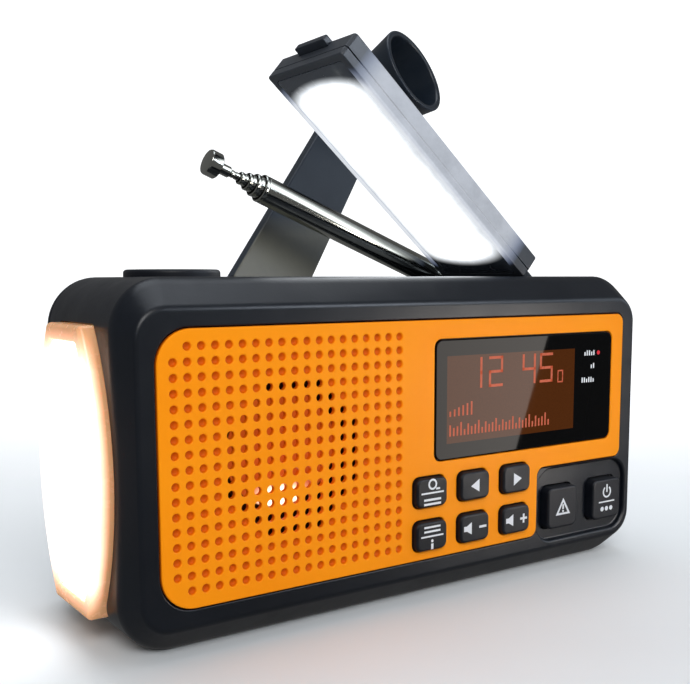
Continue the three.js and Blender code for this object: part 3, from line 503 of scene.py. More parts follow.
def surface(look, body, smear, wear, rough, specular, grain=900, depth=0.03, edge=0.5, worn=0.35):
    """The end of one: lighter rubbed edges, smeared gloss and a fine spark-erosion grain."""
    rub = look.times(look.edges(edge), look.remap(smear, 0.35, 0.7, 0.1, worn))
    colour = look.mix(rub, body, wear)
    look.set(Base_Color=colour, Roughness=look.remap(smear, 0.3, 0.75, *rough), Specular_IOR_Level=specular)
    look.bump(look.noise(grain, 2, 0.5), depth, 0.5)
    return colour


def plastic(name, base, tint, wear, roughness, *rest, **named):
    """Moulded plastic of one colour; the rest is what surface() takes."""
    look, body, smear = moulding(name, base, tint)
    surface(look, body, smear, wear, (roughness - 0.05, roughness + 0.07), 0.38, *rest, **named)
    return look.material


def plate_orange():
    """Orange moulding with painted shade: a darker orange at the bottom of each dimple of the grille."""
    look, body, smear = moulding("plate_orange", (0.98, 0.285, 0.0020), (1.0, 0.315, 0.0030))
    colour = surface(look, body, smear, (1.0, 0.45, 0.10), (0.36, 0.48), 0.08, 1100, 0.02, 0.25)
    # painted shade: the deeper into a dimple, the darker and deeper the orange
    painted_dimple_shade = look.remap(look.parts()["Y"], (PLATE_LOW.y + 0.12) * MM, (PLATE_LOW.y + 0.55) * MM, 0, 1)
    look.set(Base_Color=look.mix(painted_dimple_shade, colour, (0.68, 0.120, 0.001)))
    return look.material


PAINTED_REFLECTION_ENDS = 104.5           # heights between which the painted reflection on the front of the crank arm sets in
PAINTED_REFLECTION_FULL = 98.5


def arm_plastic():
    """The crank's plastic, with a painted reflection that makes the front of the arm's lower half paler."""
    look, own_colour, smear = moulding("arm_plastic", (0.013, 0.019, 0.029), (0.019, 0.026, 0.037))
    # painted reflection: below these heights the arm's front faces turn a paler olive
    low = look.remap(look.parts()["Z"], PAINTED_REFLECTION_ENDS * MM, PAINTED_REFLECTION_FULL * MM, 0, 1)
    painted_reflection = look.times(low, look.remap(smear, 0.3, 0.7, 0.8, 1))
    normal = look.parts(look.node("ShaderNodeTexCoord").outputs["Normal"])
    painted_reflection = look.times(painted_reflection, look.remap(normal["Y"], -0.1, -0.5, 0, 1))
    body = look.mix(painted_reflection, own_colour, (0.112, 0.110, 0.090))
    surface(look, body, smear, (0.08, 0.10, 0.14), (0.30, 0.42), 0.26, worn=0.5)
    return look.material


# the two brightest spots of the lamp, measured in the photo, along the lid from its hinge;
# the LEDs themselves are not modelled
LAMP_FIRST = -81.3
LAMP_LAST = -23.3


def from_lamp_line(look):
    """Distance in metres from the line between the lamp's brightest spots, growing faster past its ends."""
    middle = HINGE + LID_X * ((LAMP_FIRST + LAMP_LAST) / 2)
    offset = look.vector("SUBTRACT", look.place, tuple(middle * MM), "Vector")
    along = look.vector("DOT_PRODUCT", offset, tuple(LID_X))
    half = (LAMP_LAST - LAMP_FIRST) / 2 * MM
    past = look.math("MAXIMUM", look.math("SUBTRACT", look.math("ABSOLUTE", along), half), 0.0)
    side = look.parts()["Y"]
    across = look.math("POWER", look.math("ABSOLUTE", side), 2.0)
    ends = look.math("POWER", look.times(past, 2.5), 2.0)
    return look.math("POWER", look.math("ADD", across, ends), 0.5), side


def lid_plastic():
    """Lid moulding with a painted glow: emission on the wall beside the lamp stands in for the lamp's light
    on it.
    """
    look, body, smear = moulding("lid_plastic", (0.030, 0.036, 0.046), (0.042, 0.047, 0.056))
    surface(look, body, smear, (0.13, 0.16, 0.21), (0.30, 0.42), 0.3, worn=0.4)
    distance, side = from_lamp_line(look)
    # painted glow: the side wall near the lamp emits blue-white light, and so does the lower rim close to the
    # lamp
    wall = look.remap(look.math("ABSOLUTE", side), 15.6 * MM, 16.1 * MM, 0, 1)
    painted_glow = look.times(look.remap(distance, 17 * MM, 27 * MM, 1, 0), wall)
    up = LID_X.cross(Y_AXIS)
    low = (HINGE.dot(up) + LID_LOW_W) * MM
    rim = look.remap(look.vector("DOT_PRODUCT", look.place, tuple(up)), low + 0.9 * MM, low + 0.2 * MM, 0, 1)
    rim = look.times(rim, look.remap(distance, 17.5 * MM, 21 * MM, 0.30, 0))
    look.set(Emission_Color=look.mix(painted_glow, (0.42, 0.55, 0.95), (0.90, 0.94, 1.0)))
    strength = look.math("ADD", look.remap(smear, 0.3, 0.7, 0.42, 0.6), rim)
    look.set(Emission_Strength=look.times(painted_glow, strength))
    return look.material


def rubbery(name, base, lift, roughness=0.55):
    """Soft-touch silicone: almost even, slightly sheened, with faint rubbing on the crown."""
    look = Look(name)
    smear = look.noise(240, 4, 0.6)
    colour = look.mix(look.remap(smear, 0.35, 0.75, 0, 1), base, lift)
    rough = look.remap(smear, 0.3, 0.7, roughness - 0.06, roughness + 0.08)
    look.set(Base_Color=colour, Roughness=rough, Specular_IOR_Level=0.25)
    look.set(Sheen_Weight=0.03, Sheen_Roughness=0.4)
    look.bump(look.noise(1400, 2), 0.012, 0.4)
    return look.material


def metal(name, base, stain, roughness, brush=(1, 1, 1), depth=0.004):
    """Plated metal: smears, faint brushing or polish marks, darker film in patches."""
    look = Look(name)
    smear = look.noise(70, 5, 0.65)
    colour = look.mix(look.remap(smear, 0.4, 0.75, 0, 0.5), base, stain)
    hair = look.noise(650, 3, 0.6, brush)
    rough = look.math("ADD", look.remap(smear, 0.3, 0.7, roughness, roughness * 1.8 + 0.02),
                      look.remap(hair, 0.3, 0.7, 0, roughness * 0.4))
    look.set(Base_Color=colour, Metallic=1.0, Roughness=rough)
    look.bump(hair, depth, 0.6)
    return look.material


def board(name, base, track):
    """Solder-masked laminate with faint copper tracks under the mask."""
    look = Look(name)
    lines = look.node("ShaderNodeTexBrick", offset=0.35, squash=0.6, squash_frequency=3)
    for key, value in (("Scale", 140), ("Mortar Size", 0.06), ("Brick Width", 0.9), ("Row Height", 0.35)):
        lines.inputs[key].default_value = value
    look.wire(look.place, lines.inputs["Vector"])
    colour = look.mix(lines.outputs["Fac"], base, track)
    look.set(Base_Color=colour, Roughness=look.vary(0.3, 0.5, 300), Coat_Weight=0.3)
    look.bump(lines.outputs["Fac"], 0.03, 0.5)
    return look.material


def amber_shell(name):
    """Amber polycarbonate, glowing faintly where the torch shines through it from inside, with a painted
    glare that whitens its outer face.
    """
    look = Look(name)
    cloud = look.noise(45, 4)
    colour = look.mix(look.remap(cloud, 0.3, 0.7, 0, 1), (0.70, 0.34, 0.155), (0.78, 0.42, 0.215))
    look.set(Base_Color=colour, Roughness=look.vary(0.18, 0.3, 420, 3))
    look.set(Subsurface_Weight=0.5, Subsurface_Radius=(0.004, 0.002, 0.001), Subsurface_Scale=1.0)
    place = look.parts()
    # painted glare: the emission grows and whitens towards the outer face, most at middle height
    outward = look.remap(place["X"], (-HALF_W - 0.6) * MM, (-HALF_W - 3.7) * MM, 0, 1)
    level = look.apart(place["Z"], TORCH_Z * MM)
    painted_glare = look.times(outward, look.remap(level, 33 * MM, 24 * MM, 0.05, 1))
    painted_glare = look.times(painted_glare, look.remap(cloud, 0.3, 0.7, 0.85, 1.1))
    look.set(Emission_Color=look.mix(painted_glare, (1.0, 0.52, 0.26), (1.0, 0.95, 0.90)))
    look.set(Emission_Strength=look.math("ADD", look.times(painted_glare, 2.0), 0.08), Coat_Weight=0.2)
    look.bump(look.noise(1200, 2), 0.01, 0.4)
    return look.material


def glowing(name, spots, low, high, reach):
    """A ribbed opal lens lit from behind: brightest over each of the spots, which are in millimetres."""
    look = Look(name)
    total = None
    for spot in spots:
        away = look.vector("DISTANCE", look.place, tuple(Vector(spot) * MM))
        near = look.math("POWER", look.remap(away, 0, reach * MM, 1, 0), 2.0)
        total = near if total is None else look.math("MAXIMUM", total, near)
    strength = look.remap(total, 0, 1, low, high)
    look.set(Base_Color=(0.93, 0.95, 1.0), Emission_Color=(0.94, 0.97, 1.0), Emission_Strength=strength)
    look.set(Roughness=look.vary(0.12, 0.28, 300), Coat_Weight=0.3)
    wave = look.node("ShaderNodeTexWave", bands_direction="Z")
    wave.inputs["Scale"].default_value = 160
    look.wire(look.place, wave.inputs["Vector"])
    look.bump(wave.outputs["Fac"], 0.15, 0.8)
    return look.material


def lamp_look():
    """Opal strip: blown-out along the lamp's line, fading to unlit at the ends and edges, where its colour
    darkens as painted shade.
    """
    look = Look("lamp_glow")
    distance, _ = from_lamp_line(look)
    total = look.remap(distance, 6 * MM, 21 * MM, 1, 0)
    cloud = look.vary(0.8, 1.15, 130, 4, 0.6)
    strength = look.times(look.math("POWER", total, 1.7), cloud)
    # painted shade: the opal's own colour darkens away from the lamp's line
    look.set(Base_Color=look.mix(total, (0.045, 0.052, 0.065), (0.75, 0.78, 0.82)))
    look.set(Emission_Color=(0.92, 0.96, 1.0), Emission_Strength=look.times(strength, 4.5))
    look.set(Roughness=look.vary(0.14, 0.3, 300), Coat_Weight=0.2)
    look.bump(look.noise(700), 0.01, 0.4)
    return look.material


CASE_DARK = (0.0028, 0.0046, 0.0086)
CASE_TINT = (0.0050, 0.0072, 0.0118)
CASE_WORN = (0.0520, 0.0620, 0.0850)
case_look = plastic("case_plastic", CASE_DARK, CASE_TINT, CASE_WORN, 0.34)
crank_look = plastic("crank_plastic", (0.016, 0.021, 0.030), (0.022, 0.027, 0.036), (0.07, 0.10, 0.14), 0.36)
# the knob's wide, strong blue-grey edge band is wear and also a painted highlight, most of all round the
# cup's rim
knob_look = plastic("knob_plastic", (0.007, 0.012, 0.020), (0.010, 0.016, 0.025), (0.10, 0.14, 0.23), 0.34,
                    edge=1.2, worn=1.0)
arm_look = arm_plastic()
lid_look = lid_plastic()
plate_look = plate_orange()
key_look = rubbery("key_rubber", (0.0030, 0.0044, 0.0082), (0.0056, 0.0072, 0.0120), 0.45)
port_look = rubbery("port_rubber", (0.018, 0.019, 0.021), (0.028, 0.028, 0.030), 0.75)
chrome_look = metal("chrome_plate", (0.42, 0.43, 0.40), (0.15, 0.16, 0.13), 0.07, (0.1, 1, 0.1))
steel_look = metal("zinc_steel", (0.55, 0.55, 0.56), (0.33, 0.33, 0.34), 0.30, (1, 1, 0.1), 0.01)
basket_look = plastic("speaker_basket", (0.006, 0.006, 0.007), (0.010, 0.010, 0.011), (0.03, 0.03, 0.03), 0.6)
nylon_look = plastic("acetal", (0.78, 0.77, 0.71), (0.70, 0.68, 0.61), (0.85, 0.84, 0.80), 0.45, 700, 0.02)
cell_look = plastic("cell_wrap", (0.03, 0.22, 0.10), (0.04, 0.28, 0.13), (0.2, 0.4, 0.3), 0.3, 300, 0.05)
board_look = board("board_green", (0.012, 0.085, 0.035), (0.03, 0.15, 0.06))
white_board_look = board("board_white", (0.75, 0.75, 0.72), (0.55, 0.55, 0.52))
legend_look = plastic("legend_ink", (0.80, 0.82, 0.85), (0.70, 0.72, 0.76), (0.9, 0.9, 0.9), 0.6, 900, 0.01)


# ---------- case ----------
def mix(a, b, t):
    return tuple(p + (q - p) * t for p, q in zip(a, b))


def soft_corner(start, corner, end, steps=6):
    """Sections along a quadratic curve that rounds off a corner section."""
    sections = []
    for k in range(steps + 1):
        t = k / steps
        sections.append(mix(mix(start, corner, t), mix(corner, end, t), t))
    return sections


def outer_sections(seam):
    """Case sections (y, side inset, top inset, corner radius) from the seam to the front or rear face."""
    side = -1 if seam <= SEAM_FRONT else 1
    shoulder = (side * (HALF_D - BEVEL_D), 0, 0, CORNER_R)
    face = (side * HALF_D, BEVEL_SIDE, BEVEL_TOP, FACE_R)
    edge = 0.3
    rim = (seam, edge, edge, CORNER_R - edge)
    flank = (seam + side * edge, 0, 0, CORNER_R)
    before = (side * (HALF_D - BEVEL_D - 1.4), 0, 0, CORNER_R)
    middle = (side * HALF_D, BEVEL_SIDE + 0.9, BEVEL_TOP + 0.9, FACE_R - 0.9)
    return [
        rim,
        flank,
        *soft_corner(before, shoulder, mix(shoulder, face, 0.26)),
        *soft_corner(mix(shoulder, face, 0.88), face, middle),
    ]


def inner_sections(seam):
    side = -1 if seam <= SEAM_FRONT else 1
    wall = FACE_WALL if side < 0 else WALL
    inner_r = CORNER_R - WALL
    return [
        (side * (HALF_D - wall), BEVEL_SIDE + WALL, BEVEL_TOP + WALL, FACE_R - WALL / 2),
        (side * (HALF_D - BEVEL_D), WALL, WALL, inner_r),
        (seam, WALL, WALL, inner_r),
    ]


def case_ring(y, inset_x, inset_z, radius):
    half = HALF_W - inset_x
    outline = rounded_rect(-half, half, inset_z, CASE_H - inset_z, radius, 14)
    return [Vector((u, y, v)) for u, v in outline()]


def block(x0, x1, y0, y1, z0, z1, radius=0.6):
    return brick("block", (x0, x1, y0, y1, radius, 4), [(0, z0), (0, z1)])


def barrel(grow=0.0, steps=18, corner=1.4):
    """Torch outline: straight ends, bowed sides, small corner rounds."""
    bulge = TORCH_MID_Y - TORCH_END_Y
    radius = (TORCH_HALF_H ** 2 + bulge ** 2) / (2 * bulge)
    centre = TORCH_MID_Y - radius
    reach = math.asin(TORCH_HALF_H / radius)
    angles = [reach * (2 * k / steps - 1) for k in range(steps + 1)]
    right = [(centre + radius * math.cos(a), TORCH_Z + radius * math.sin(a)) for a in angles]
    left = [(-centre - radius * math.cos(a), TORCH_Z - radius * math.sin(a)) for a in angles]
    radii = ([corner] + [0] * (steps - 1) + [corner]) * 2
    outline = filleted(right + left, radii, 4)
    return lambda inset=0.0: outline(inset - grow)


def plate_outline(grow=0.0, step_grow=0.0):
    left, right = PLATE_LOW.x - grow, PLATE_HIGH.x + grow
    low, high = PLATE_LOW.z - grow, PLATE_HIGH.z + grow
    step_x = PANEL_LEFT - GAP
    step_z = PANEL_TOP + step_grow
    points = [(left, low), (step_x, low), (step_x, step_z), (right, step_z), (right, high), (left, high)]
    return filleted(points, [8.2, 2.6, 2.6, 2.6, 2.6, 8.2], 10)


def key_half(name):
    low, high = span(name)
    return (high.x - low.x) / 2 - KEY_RIM, (high.z - low.z) / 2 - KEY_RIM


def key_well(name, floor, face, lip):
    x, z = centre_xz(name)
    half_x, half_z = key_half(name)
    outline = rounded_rect(x - half_x - GAP, x + half_x + GAP, z - half_z - GAP, z + half_z + GAP, 2.0, 5)
    return stack("key_well", outline, well(floor, face, lip), FACING_FRONT)


def knob_pocket_wells():
    """The rear right pocket that takes the crank knob: open to the right and to the back."""
    p = POCKET
    far = 60
    side = filleted(bar(p["y0"], far, p["z0"], p["z1"]), [2, 0, 0, 2], 6)
    back = filleted(bar(-far * 2, -p["x0"], p["z0"], p["z1"]), [0, 2, 2, 0], 6)
    return [
        stack("pocket_side", side, well(p["x0"], HALF_W, 0.8, 1.5, reach=9), FACING_RIGHT),
        stack("pocket_back", back, well(p["y0"], HALF_D, 0.8, 1.5, reach=9), FACING_BACK),
    ]


def recess_well():
    outline = rounded_rect(RECESS_X0, RECESS_X1, -RECESS_HALF_W, RECESS_HALF_W, 1.6, 5)
    return stack("recess", outline, well(RECESS_FLOOR, CASE_H, 0.45, 0.4))


def groove_well():
    outline = rounded_rect(RECESS_X0 - 3.2, RECESS_X1, GROOVE_Y, 3 * GROOVE_Y, 1.4, 5)
    return stack("groove", outline, well(GROOVE_Z, CASE_H, 0.45, 0.6))


def torch_well():
    return stack("torch_well", barrel(GAP), well(HALF_W - 6, HALF_W, 0.35), FACING_LEFT)


def make_front_shell():
    rings = [case_ring(*s) for s in inner_sections(SEAM_FRONT) + outer_sections(SEAM_FRONT)]
    shell = mesh_object("front_case", *skin(rings))
    p = POCKET
    weld(
        shell,
        block(RECESS_X0 - 3.4, RECESS_X1 + 1.8, -RECESS_HALF_W - 1, SEAM_FRONT,
              RECESS_FLOOR - 1.8, CASE_H - 0.8),
        block(p["x0"] - 1.8, HALF_W - 0.8, p["y0"] - 1.8, SEAM_FRONT, p["z0"] - 1.8, p["z1"] + 1.8),
    )
    low, high = span("display_module")
    carve(
        shell,
        stack("plate_pocket", plate_outline(GAP), well(POCKET_FLOOR, HALF_D, 0.3), FACING_FRONT),
        brick("panel", (PANEL_LEFT + 0.2, 78.2, 8.8, 30.1, 6, 10),
              well(PANEL_FLOOR, HALF_D, 0.8, 0.5), FACING_FRONT),
        brick("display_hole", (low.x + 1, high.x - 1, low.z + 1.2, high.z - 1.2, 1),
              CUT_FACE, FACING_FRONT),
        stack("speaker_hole", circle(19.8, 64, SPEAKER_CENTRE), CUT_FACE, FACING_FRONT),
        *[key_well(name, 24, HALF_D, 0.2) for name in SMALL_KEYS],
        *[key_well(name, 24, PANEL_FLOOR, 0.35) for name in BIG_KEYS],
        torch_well(),
        stack("button_well", circle(BUTTON_R + GAP, 72, (BUTTON_X, 0)), well(82, CASE_H, 0.5)),
        recess_well(),
        brick("notch", (RECESS_X0 - 3, RECESS_X0 + 1, -7.8, 7.8, 0.8), well(82.2, CASE_H, 0.4)),
        *knob_pocket_wells(),
    )
    return finish_piece(shell, "case", case_look, ["front_shell"])


def make_rear_shell():
    rings = [case_ring(*s) for s in outer_sections(SEAM_REAR)[::-1] + inner_sections(SEAM_REAR)[::-1]]
    shell = mesh_object("rear_case", *skin(rings))
    p = POCKET
    port = span("port_cover")
    x0, x1 = port[0].x - GAP, port[1].x + GAP
    z0, z1 = port[0].z - GAP, port[1].z + GAP
    weld(
        shell,
        block(RECESS_X0 - 5, RECESS_X1 + 1.8, SEAM_REAR, HALF_D - 1, GROOVE_Z - 1.4, CASE_H - 6),
        block(p["x0"] - 1.8, HALF_W - 4, SEAM_REAR, HALF_D - 0.8, p["z0"] - 1.8, p["z0"] + 4),
        block(p["x0"] - 1.8, HALF_W - 4, SEAM_REAR, HALF_D - 0.8, p["z1"] - 4, p["z1"] + 1.8),
        block(p["x0"] - 1.8, p["x0"] + 4, SEAM_REAR, HALF_D - 0.8, p["z0"], p["z1"]),
    )
    wells = []
    for name in SCREWS:
        x, z = centre_xz(name)
        round_hole = circle(2.9, 40, (-x, z))
        wells.append(stack("screw_well", round_hole, well(HALF_D - 1.6, HALF_D, 0.3), FACING_BACK))
    carve(
        shell,
        *wells,
        torch_well(),
        brick("port_well", (-x1, -x0, z0, z1, 1.2), well(HALF_D - 1, HALF_D, 0.3), FACING_BACK),
        brick("usb_hole", (-x0 - 15.6, -x0 - 2, z0 + 3.4, z0 + 10, 0.6), CUT_FACE, FACING_BACK),
        brick("charge_hole", (-x1 + 1.6, -x1 + 8, z0 + 2.4, z0 + 11.6, 1.6), CUT_FACE,
              FACING_BACK),
        brick("label_field", (-48, 8, 12, 42, 2.0), well(HALF_D - 0.45, HALF_D, 0.2, 0.1), FACING_BACK),
        recess_well(),
        groove_well(),
        *knob_pocket_wells(),
    )
    return finish_piece(shell, "case", case_look, ["rear_shell"])


SCREWS = ["case_screw_1", "case_screw_2", "case_screw_3", "case_screw_4"]
GRILLE_PITCH = 3.44
GRILLE_COLS = 19
GRILLE_ROWS = 17
SPEAKER_COL = 9
SPEAKER_ROW = 8
SPEAKER_REACH = [5, 5, 5, 4, 3, 2]
SPEAKER_CENTRE = centre_xz("speaker_frame")
PLATE_FACE = -PLATE_LOW.y
PLATE_BACK = -PLATE_HIGH.y


# ---------- front plate ----------
def grille_tools():
    """Through holes over the speaker and blind dimples everywhere else on the grid."""
    holes, dimples = [], []
    hole = [(0.95, PLATE_BACK - 1)]
    hole += raised([(0.95, -0.25), (1.0, -0.1), (1.14, -0.01), (1.14, 1)], PLATE_FACE)
    dimple = raised([(0.3, -1.0), (0.62, -0.9), (0.86, -0.62), (0.98, -0.28), (1.04, -0.1), (1.2, -0.01),
                     (1.2, 1)], PLATE_FACE)
    for row in range(GRILLE_ROWS):
        reach = SPEAKER_REACH[abs(row - SPEAKER_ROW)] if abs(row - SPEAKER_ROW) < len(SPEAKER_REACH) else -1
        for col in range(GRILLE_COLS):
            if col == 0 and row in (0, GRILLE_ROWS - 1):
                continue            # the plate's rounded corners
            x = SPEAKER_CENTRE[0] + (col - SPEAKER_COL) * GRILLE_PITCH
            z = SPEAKER_CENTRE[1] - (row - SPEAKER_ROW) * GRILLE_PITCH
            place = FACING_FRONT @ Matrix.Translation((x, z, 0))
            if abs(col - SPEAKER_COL) <= reach:
                holes.append(turned("hole", hole, place, 16))
            else:
                dimples.append(turned("dimple", dimple, place, 16))
    return gather("grille_tool", holes + dimples)


def make_front_plate():
    thick = slab(PLATE_BACK, PLATE_FACE, 0.1, 0.45)
    plate = stack("orange_plate", plate_outline(0, GAP), thick, FACING_FRONT)
    w0, w1 = WINDOW_LOW, WINDOW_HIGH
    window = rounded_rect(w0.x - GAP, w1.x + GAP, w0.z - GAP, w1.z + GAP, 2.2, 6)
    carve(
        plate,
        stack("window_hole", window, well(PLATE_BACK - 1, PLATE_FACE, 0.3), FACING_FRONT),
        *[key_well(name, PLATE_BACK - 1, PLATE_FACE, 0.35) for name in SMALL_KEYS],
        grille_tools(),
    )
    return finish_piece(plate, "case", plate_look, ["front_plate"])


# ---------- thin inlays: legends, digits ----------
INK_SINK = 0.03             # how far printing reaches into the face it stands on
DIGIT = dict(width=4.4, height=7.6, stroke=0.75)


def arc_band(centre, r0, r1, start, stop, steps=14):
    """A curved band between two radii, angles in degrees."""
    turn = [math.radians(start + (stop - start) * k / steps) for k in range(steps + 1)]
    outer = [(centre[0] + r1 * math.cos(a), centre[1] + r1 * math.sin(a)) for a in turn]
    inner = [(centre[0] + r0 * math.cos(a), centre[1] + r0 * math.sin(a)) for a in reversed(turn)]
    return outer + inner


def disc(centre, radius, steps=20):
    return circle(radius, steps, centre)()


def inlay(name, shapes, place, low, thickness=0.06):
    parts = []
    for shape in shapes:
        rings = [[place @ Vector((u, v, w)) for u, v in shape] for w in (low, low + thickness)]
        parts.append(mesh_object("shape", *skin(rings)))
    return gather(name, parts)


SEGMENTS = {
    "a": (0, 1, 1, 1), "b": (1, 0.5, 1, 1), "c": (1, 0, 1, 0.5), "d": (0, 0, 1, 0),
    "e": (0, 0, 0, 0.5), "f": (0, 0.5, 0, 1), "g": (0, 0.5, 1, 0.5),
}
DIGITS = {
    "0": "abcdef", "1": "bc", "2": "abged", "3": "abgcd", "4": "fgbc", "5": "afgcd", "8": "abcdefg",
}


def digit(figure, u, v, width, height, stroke):
    """Seven-segment figure with its lower left corner at (u, v)."""
    shapes = []
    t = stroke / 2
    for segment in DIGITS[figure]:
        a, b, c, d = SEGMENTS[segment]
        shapes.append(bar(u + a * width - t, u + c * width + t, v + b * height - t, v + d * height + t))
    return shapes


# ---------- display ----------
LIT = dict(x0=5.6, x1=54.0, z0=41.5, z1=64.8)     # the lit area of the display


def window_look():
    """Tinted acrylic, black printed behind, with the lit display area showing through."""
    look = Look("display_glass")
    place = look.parts()
    inside = None
    for side, low, high in (("X", LIT["x0"], LIT["x1"]), ("Z", LIT["z0"], LIT["z1"])):
        above = look.math("GREATER_THAN", place[side], low * MM)
        below = look.math("LESS_THAN", place[side], high * MM)
        both = look.times(above, below)
        inside = both if inside is None else look.times(inside, both)
    dots = look.vary(0.85, 1.1, 2600, 1)
    glow = look.times(inside, dots)
    look.set(Base_Color=look.mix(inside, (0.003, 0.003, 0.0032), (0.006, 0.002, 0.001)))
    look.set(Emission_Color=(0.55, 0.150, 0.026), Emission_Strength=look.times(glow, 0.125))
    look.set(Roughness=look.remap(look.noise(60, 5, 0.7), 0.35, 0.75, 0.02, 0.05), Specular_IOR_Level=0.055)
    look.bump(look.noise(40, 1), 0.01, 0.2)
    return look.material


def lit(name, colour, strength):
    """Emitting ink or a lit segment."""
    look = Look(name)
    flicker = look.vary(strength * 0.85, strength * 1.1, 900, 2)
    look.set(Base_Color=tuple(0.2 * c for c in colour), Emission_Color=colour, Emission_Strength=flicker)
    look.set(Roughness=0.35, Specular_IOR_Level=0.1)
    return look.material


def make_display():
    w0, w1 = WINDOW_LOW, WINDOW_HIGH
    face = -w0.y
    glass = brick("window_glass", (w0.x, w1.x, w0.z, w1.z, 2.2, 8),
                  slab(-w1.y, face, 0.1, 0.25), FACING_FRONT)
    finish_piece(glass, "case", window_look(), ["display_window"])
    left = LIT["x0"]
    base = LIT["z0"]
    time_v = base + 14.6
    shapes = []
    for figure, u in (("1", 7.6), ("2", 15.2), ("4", 27.8), ("5", 34.6)):
        shapes += digit(figure, left + u, time_v, **DIGIT)
    shapes += digit("0", left + 41.6, time_v - 0.6, 1.9, 3.2, 0.4)
    for k in range(6):
        shapes.append(bar(left + 0.9 + 1.5 * k, left + 1.45 + 1.5 * k, base + 7.2, base + 8.6 + 0.45 * k))
    for k in range(30):
        tall = (3.0, 2.2, 2.6, 3.6, 1.6)[k % 5]
        shapes.append(bar(left + 0.9 + 1.27 * k, left + 1.45 + 1.27 * k, base + 1.9, base + 1.9 + tall))
    figures = inlay("display_figures", shapes, FACING_FRONT, face - INK_SINK, 0.05)
    finish_piece(figures, "case", lit("lit_figures", (0.62, 0.115, 0.05), 0.62))
    marks = []
    for count, v in ((5, 62.5), (2, 58.7), (6, 54.6)):
        for k in range(count):
            tall = 1.5 if (k + count) % 3 else 1.05
            marks.append(bar(61.9 - 0.95 * k, 62.4 - 0.95 * k, v, v + tall))
    status = inlay("status_marks", marks, FACING_FRONT, face - INK_SINK, 0.05)
    finish_piece(status, "case", legend_look)
    spot = inlay("status_light", [disc((64.1, 63.2), 0.62)], FACING_FRONT, face - INK_SINK, 0.07)
    finish_piece(spot, "case", lit("red_light", (0.62, 0.015, 0.03), 0.9))


# ---------- keys ----------
def key_legend(name, x, z):
    """Plain signs in place of words, round the middle of a key."""
    def at(u0, u1, v0, v1):
        return bar(x + u0, x + u1, z + v0, z + v1)

    line = at(-2.9, 2.9, -0.17, 0.17)
    minus = at(1.1, 3.1, -0.25, 0.25)
    if name == "key_scan":
        return [line, arc_band((x, z + 1.75), 0.75, 1.15, 0, 360), at(0.9, 1.9, 0.55, 0.95),
                at(-2.2, 2.2, -1.6, -1.15), at(-2.2, 2.2, -2.5, -2.05)]
    if name == "key_menu":
        return [line, at(-2.1, 2.1, 0.8, 1.2), at(-2.1, 2.1, 1.7, 2.1), disc((x, z - 1.0), 0.32),
                at(-0.3, 0.3, -2.7, -1.55)]
    if name == "key_previous":
        return [[(x + 1.0, z - 1.35), (x + 1.0, z + 1.35), (x - 1.3, z)]]
    if name == "key_next":
        return [[(x - 1.0, z - 1.35), (x + 1.3, z), (x - 1.0, z + 1.35)]]
    if name == "key_volume_down":
        return [*speaker_sign(x - 1.6, z), minus]
    if name == "key_volume_up":
        return [*speaker_sign(x - 1.6, z), minus, at(1.85, 2.35, -1.0, -0.25), at(1.85, 2.35, 0.25, 1.0)]
    if name == "key_alarm":
        return [[(x - 2.6, z - 1.9), (x + 2.6, z - 1.9), (x, z + 2.4)]]
    dots = [disc((x + 1.7 * k, z - 2.6), 0.62) for k in (-1, 0, 1)]
    power = arc_band((x, z + 1.9), 1.15, 1.6, 125, 415, 20)
    return [power, at(-0.24, 0.24, 1.8, 3.9), at(-3.0, 3.0, -0.9, -0.55), *dots]


def speaker_sign(x, z):
    cone = [(x - 0.7, z - 0.55), (x + 0.6, z - 1.3), (x + 0.6, z + 1.3), (x - 0.7, z + 0.55)]
    return [bar(x - 1.5, x - 0.7, z - 0.55, z + 0.55), cone]


def grow_about(obj, centre, factor):
    """Enlarges a flat sign in X and Z about the middle of its key."""
    for vertex in obj.data.vertices:
        vertex.co.x = centre.x * MM + (vertex.co.x - centre.x * MM) * factor
        vertex.co.z = centre.z * MM + (vertex.co.z - centre.z * MM) * factor


def make_keys():
    for name in SMALL_KEYS + BIG_KEYS:
        low, high = span(name)
        x, z = centre_xz(name)
        half_x, half_z = key_half(name)
        top = -low.y
        outline = rounded_rect(x - half_x, x + half_x, z - half_z, z + half_z, 1.9, 6)
        levels = [(0, -high.y)] + slab(KEY_BACK, top, 0.05, 0.75, 6)[5:]
        cap = stack(name.replace("key", "cap"), outline, levels, FACING_FRONT)
        wide = (x - half_x - KEY_RIM, x + half_x + KEY_RIM, z - half_z - KEY_RIM, z + half_z + KEY_RIM, 1)
        flange = brick("flange", wide, slab(KEY_BACK, KEY_BACK + 1, 0.1, 0.1), FACING_FRONT)
        weld(cap, flange)
        finish_piece(cap, name, key_look, [name])
        if name == "key_alarm":
            sign = inlay("sign", key_legend(name, x, z), FACING_FRONT, top - INK_SINK)
            inner = [(x - 1.65, z - 1.4), (x + 1.65, z - 1.4), (x, z + 1.35)]
            carve(sign, inlay("inner", [inner], FACING_FRONT, top - 0.5, 1))
            dash = [bar(x - 0.28, x + 0.28, z - 0.5, z + 0.75), disc((x, z - 1.0), 0.3)]
            sign = gather("sign_all", [sign, inlay("dash", dash, FACING_FRONT, top - INK_SINK)])
        else:
            sign = inlay("sign_all", key_legend(name, x, z), FACING_FRONT, top - INK_SINK)
        grow_about(sign, Vector((x, 0, z)), 1.3 if name in SMALL_KEYS else 1.15)
        sign.name = name.replace("key", "legend")
        finish_piece(sign, name, legend_look)


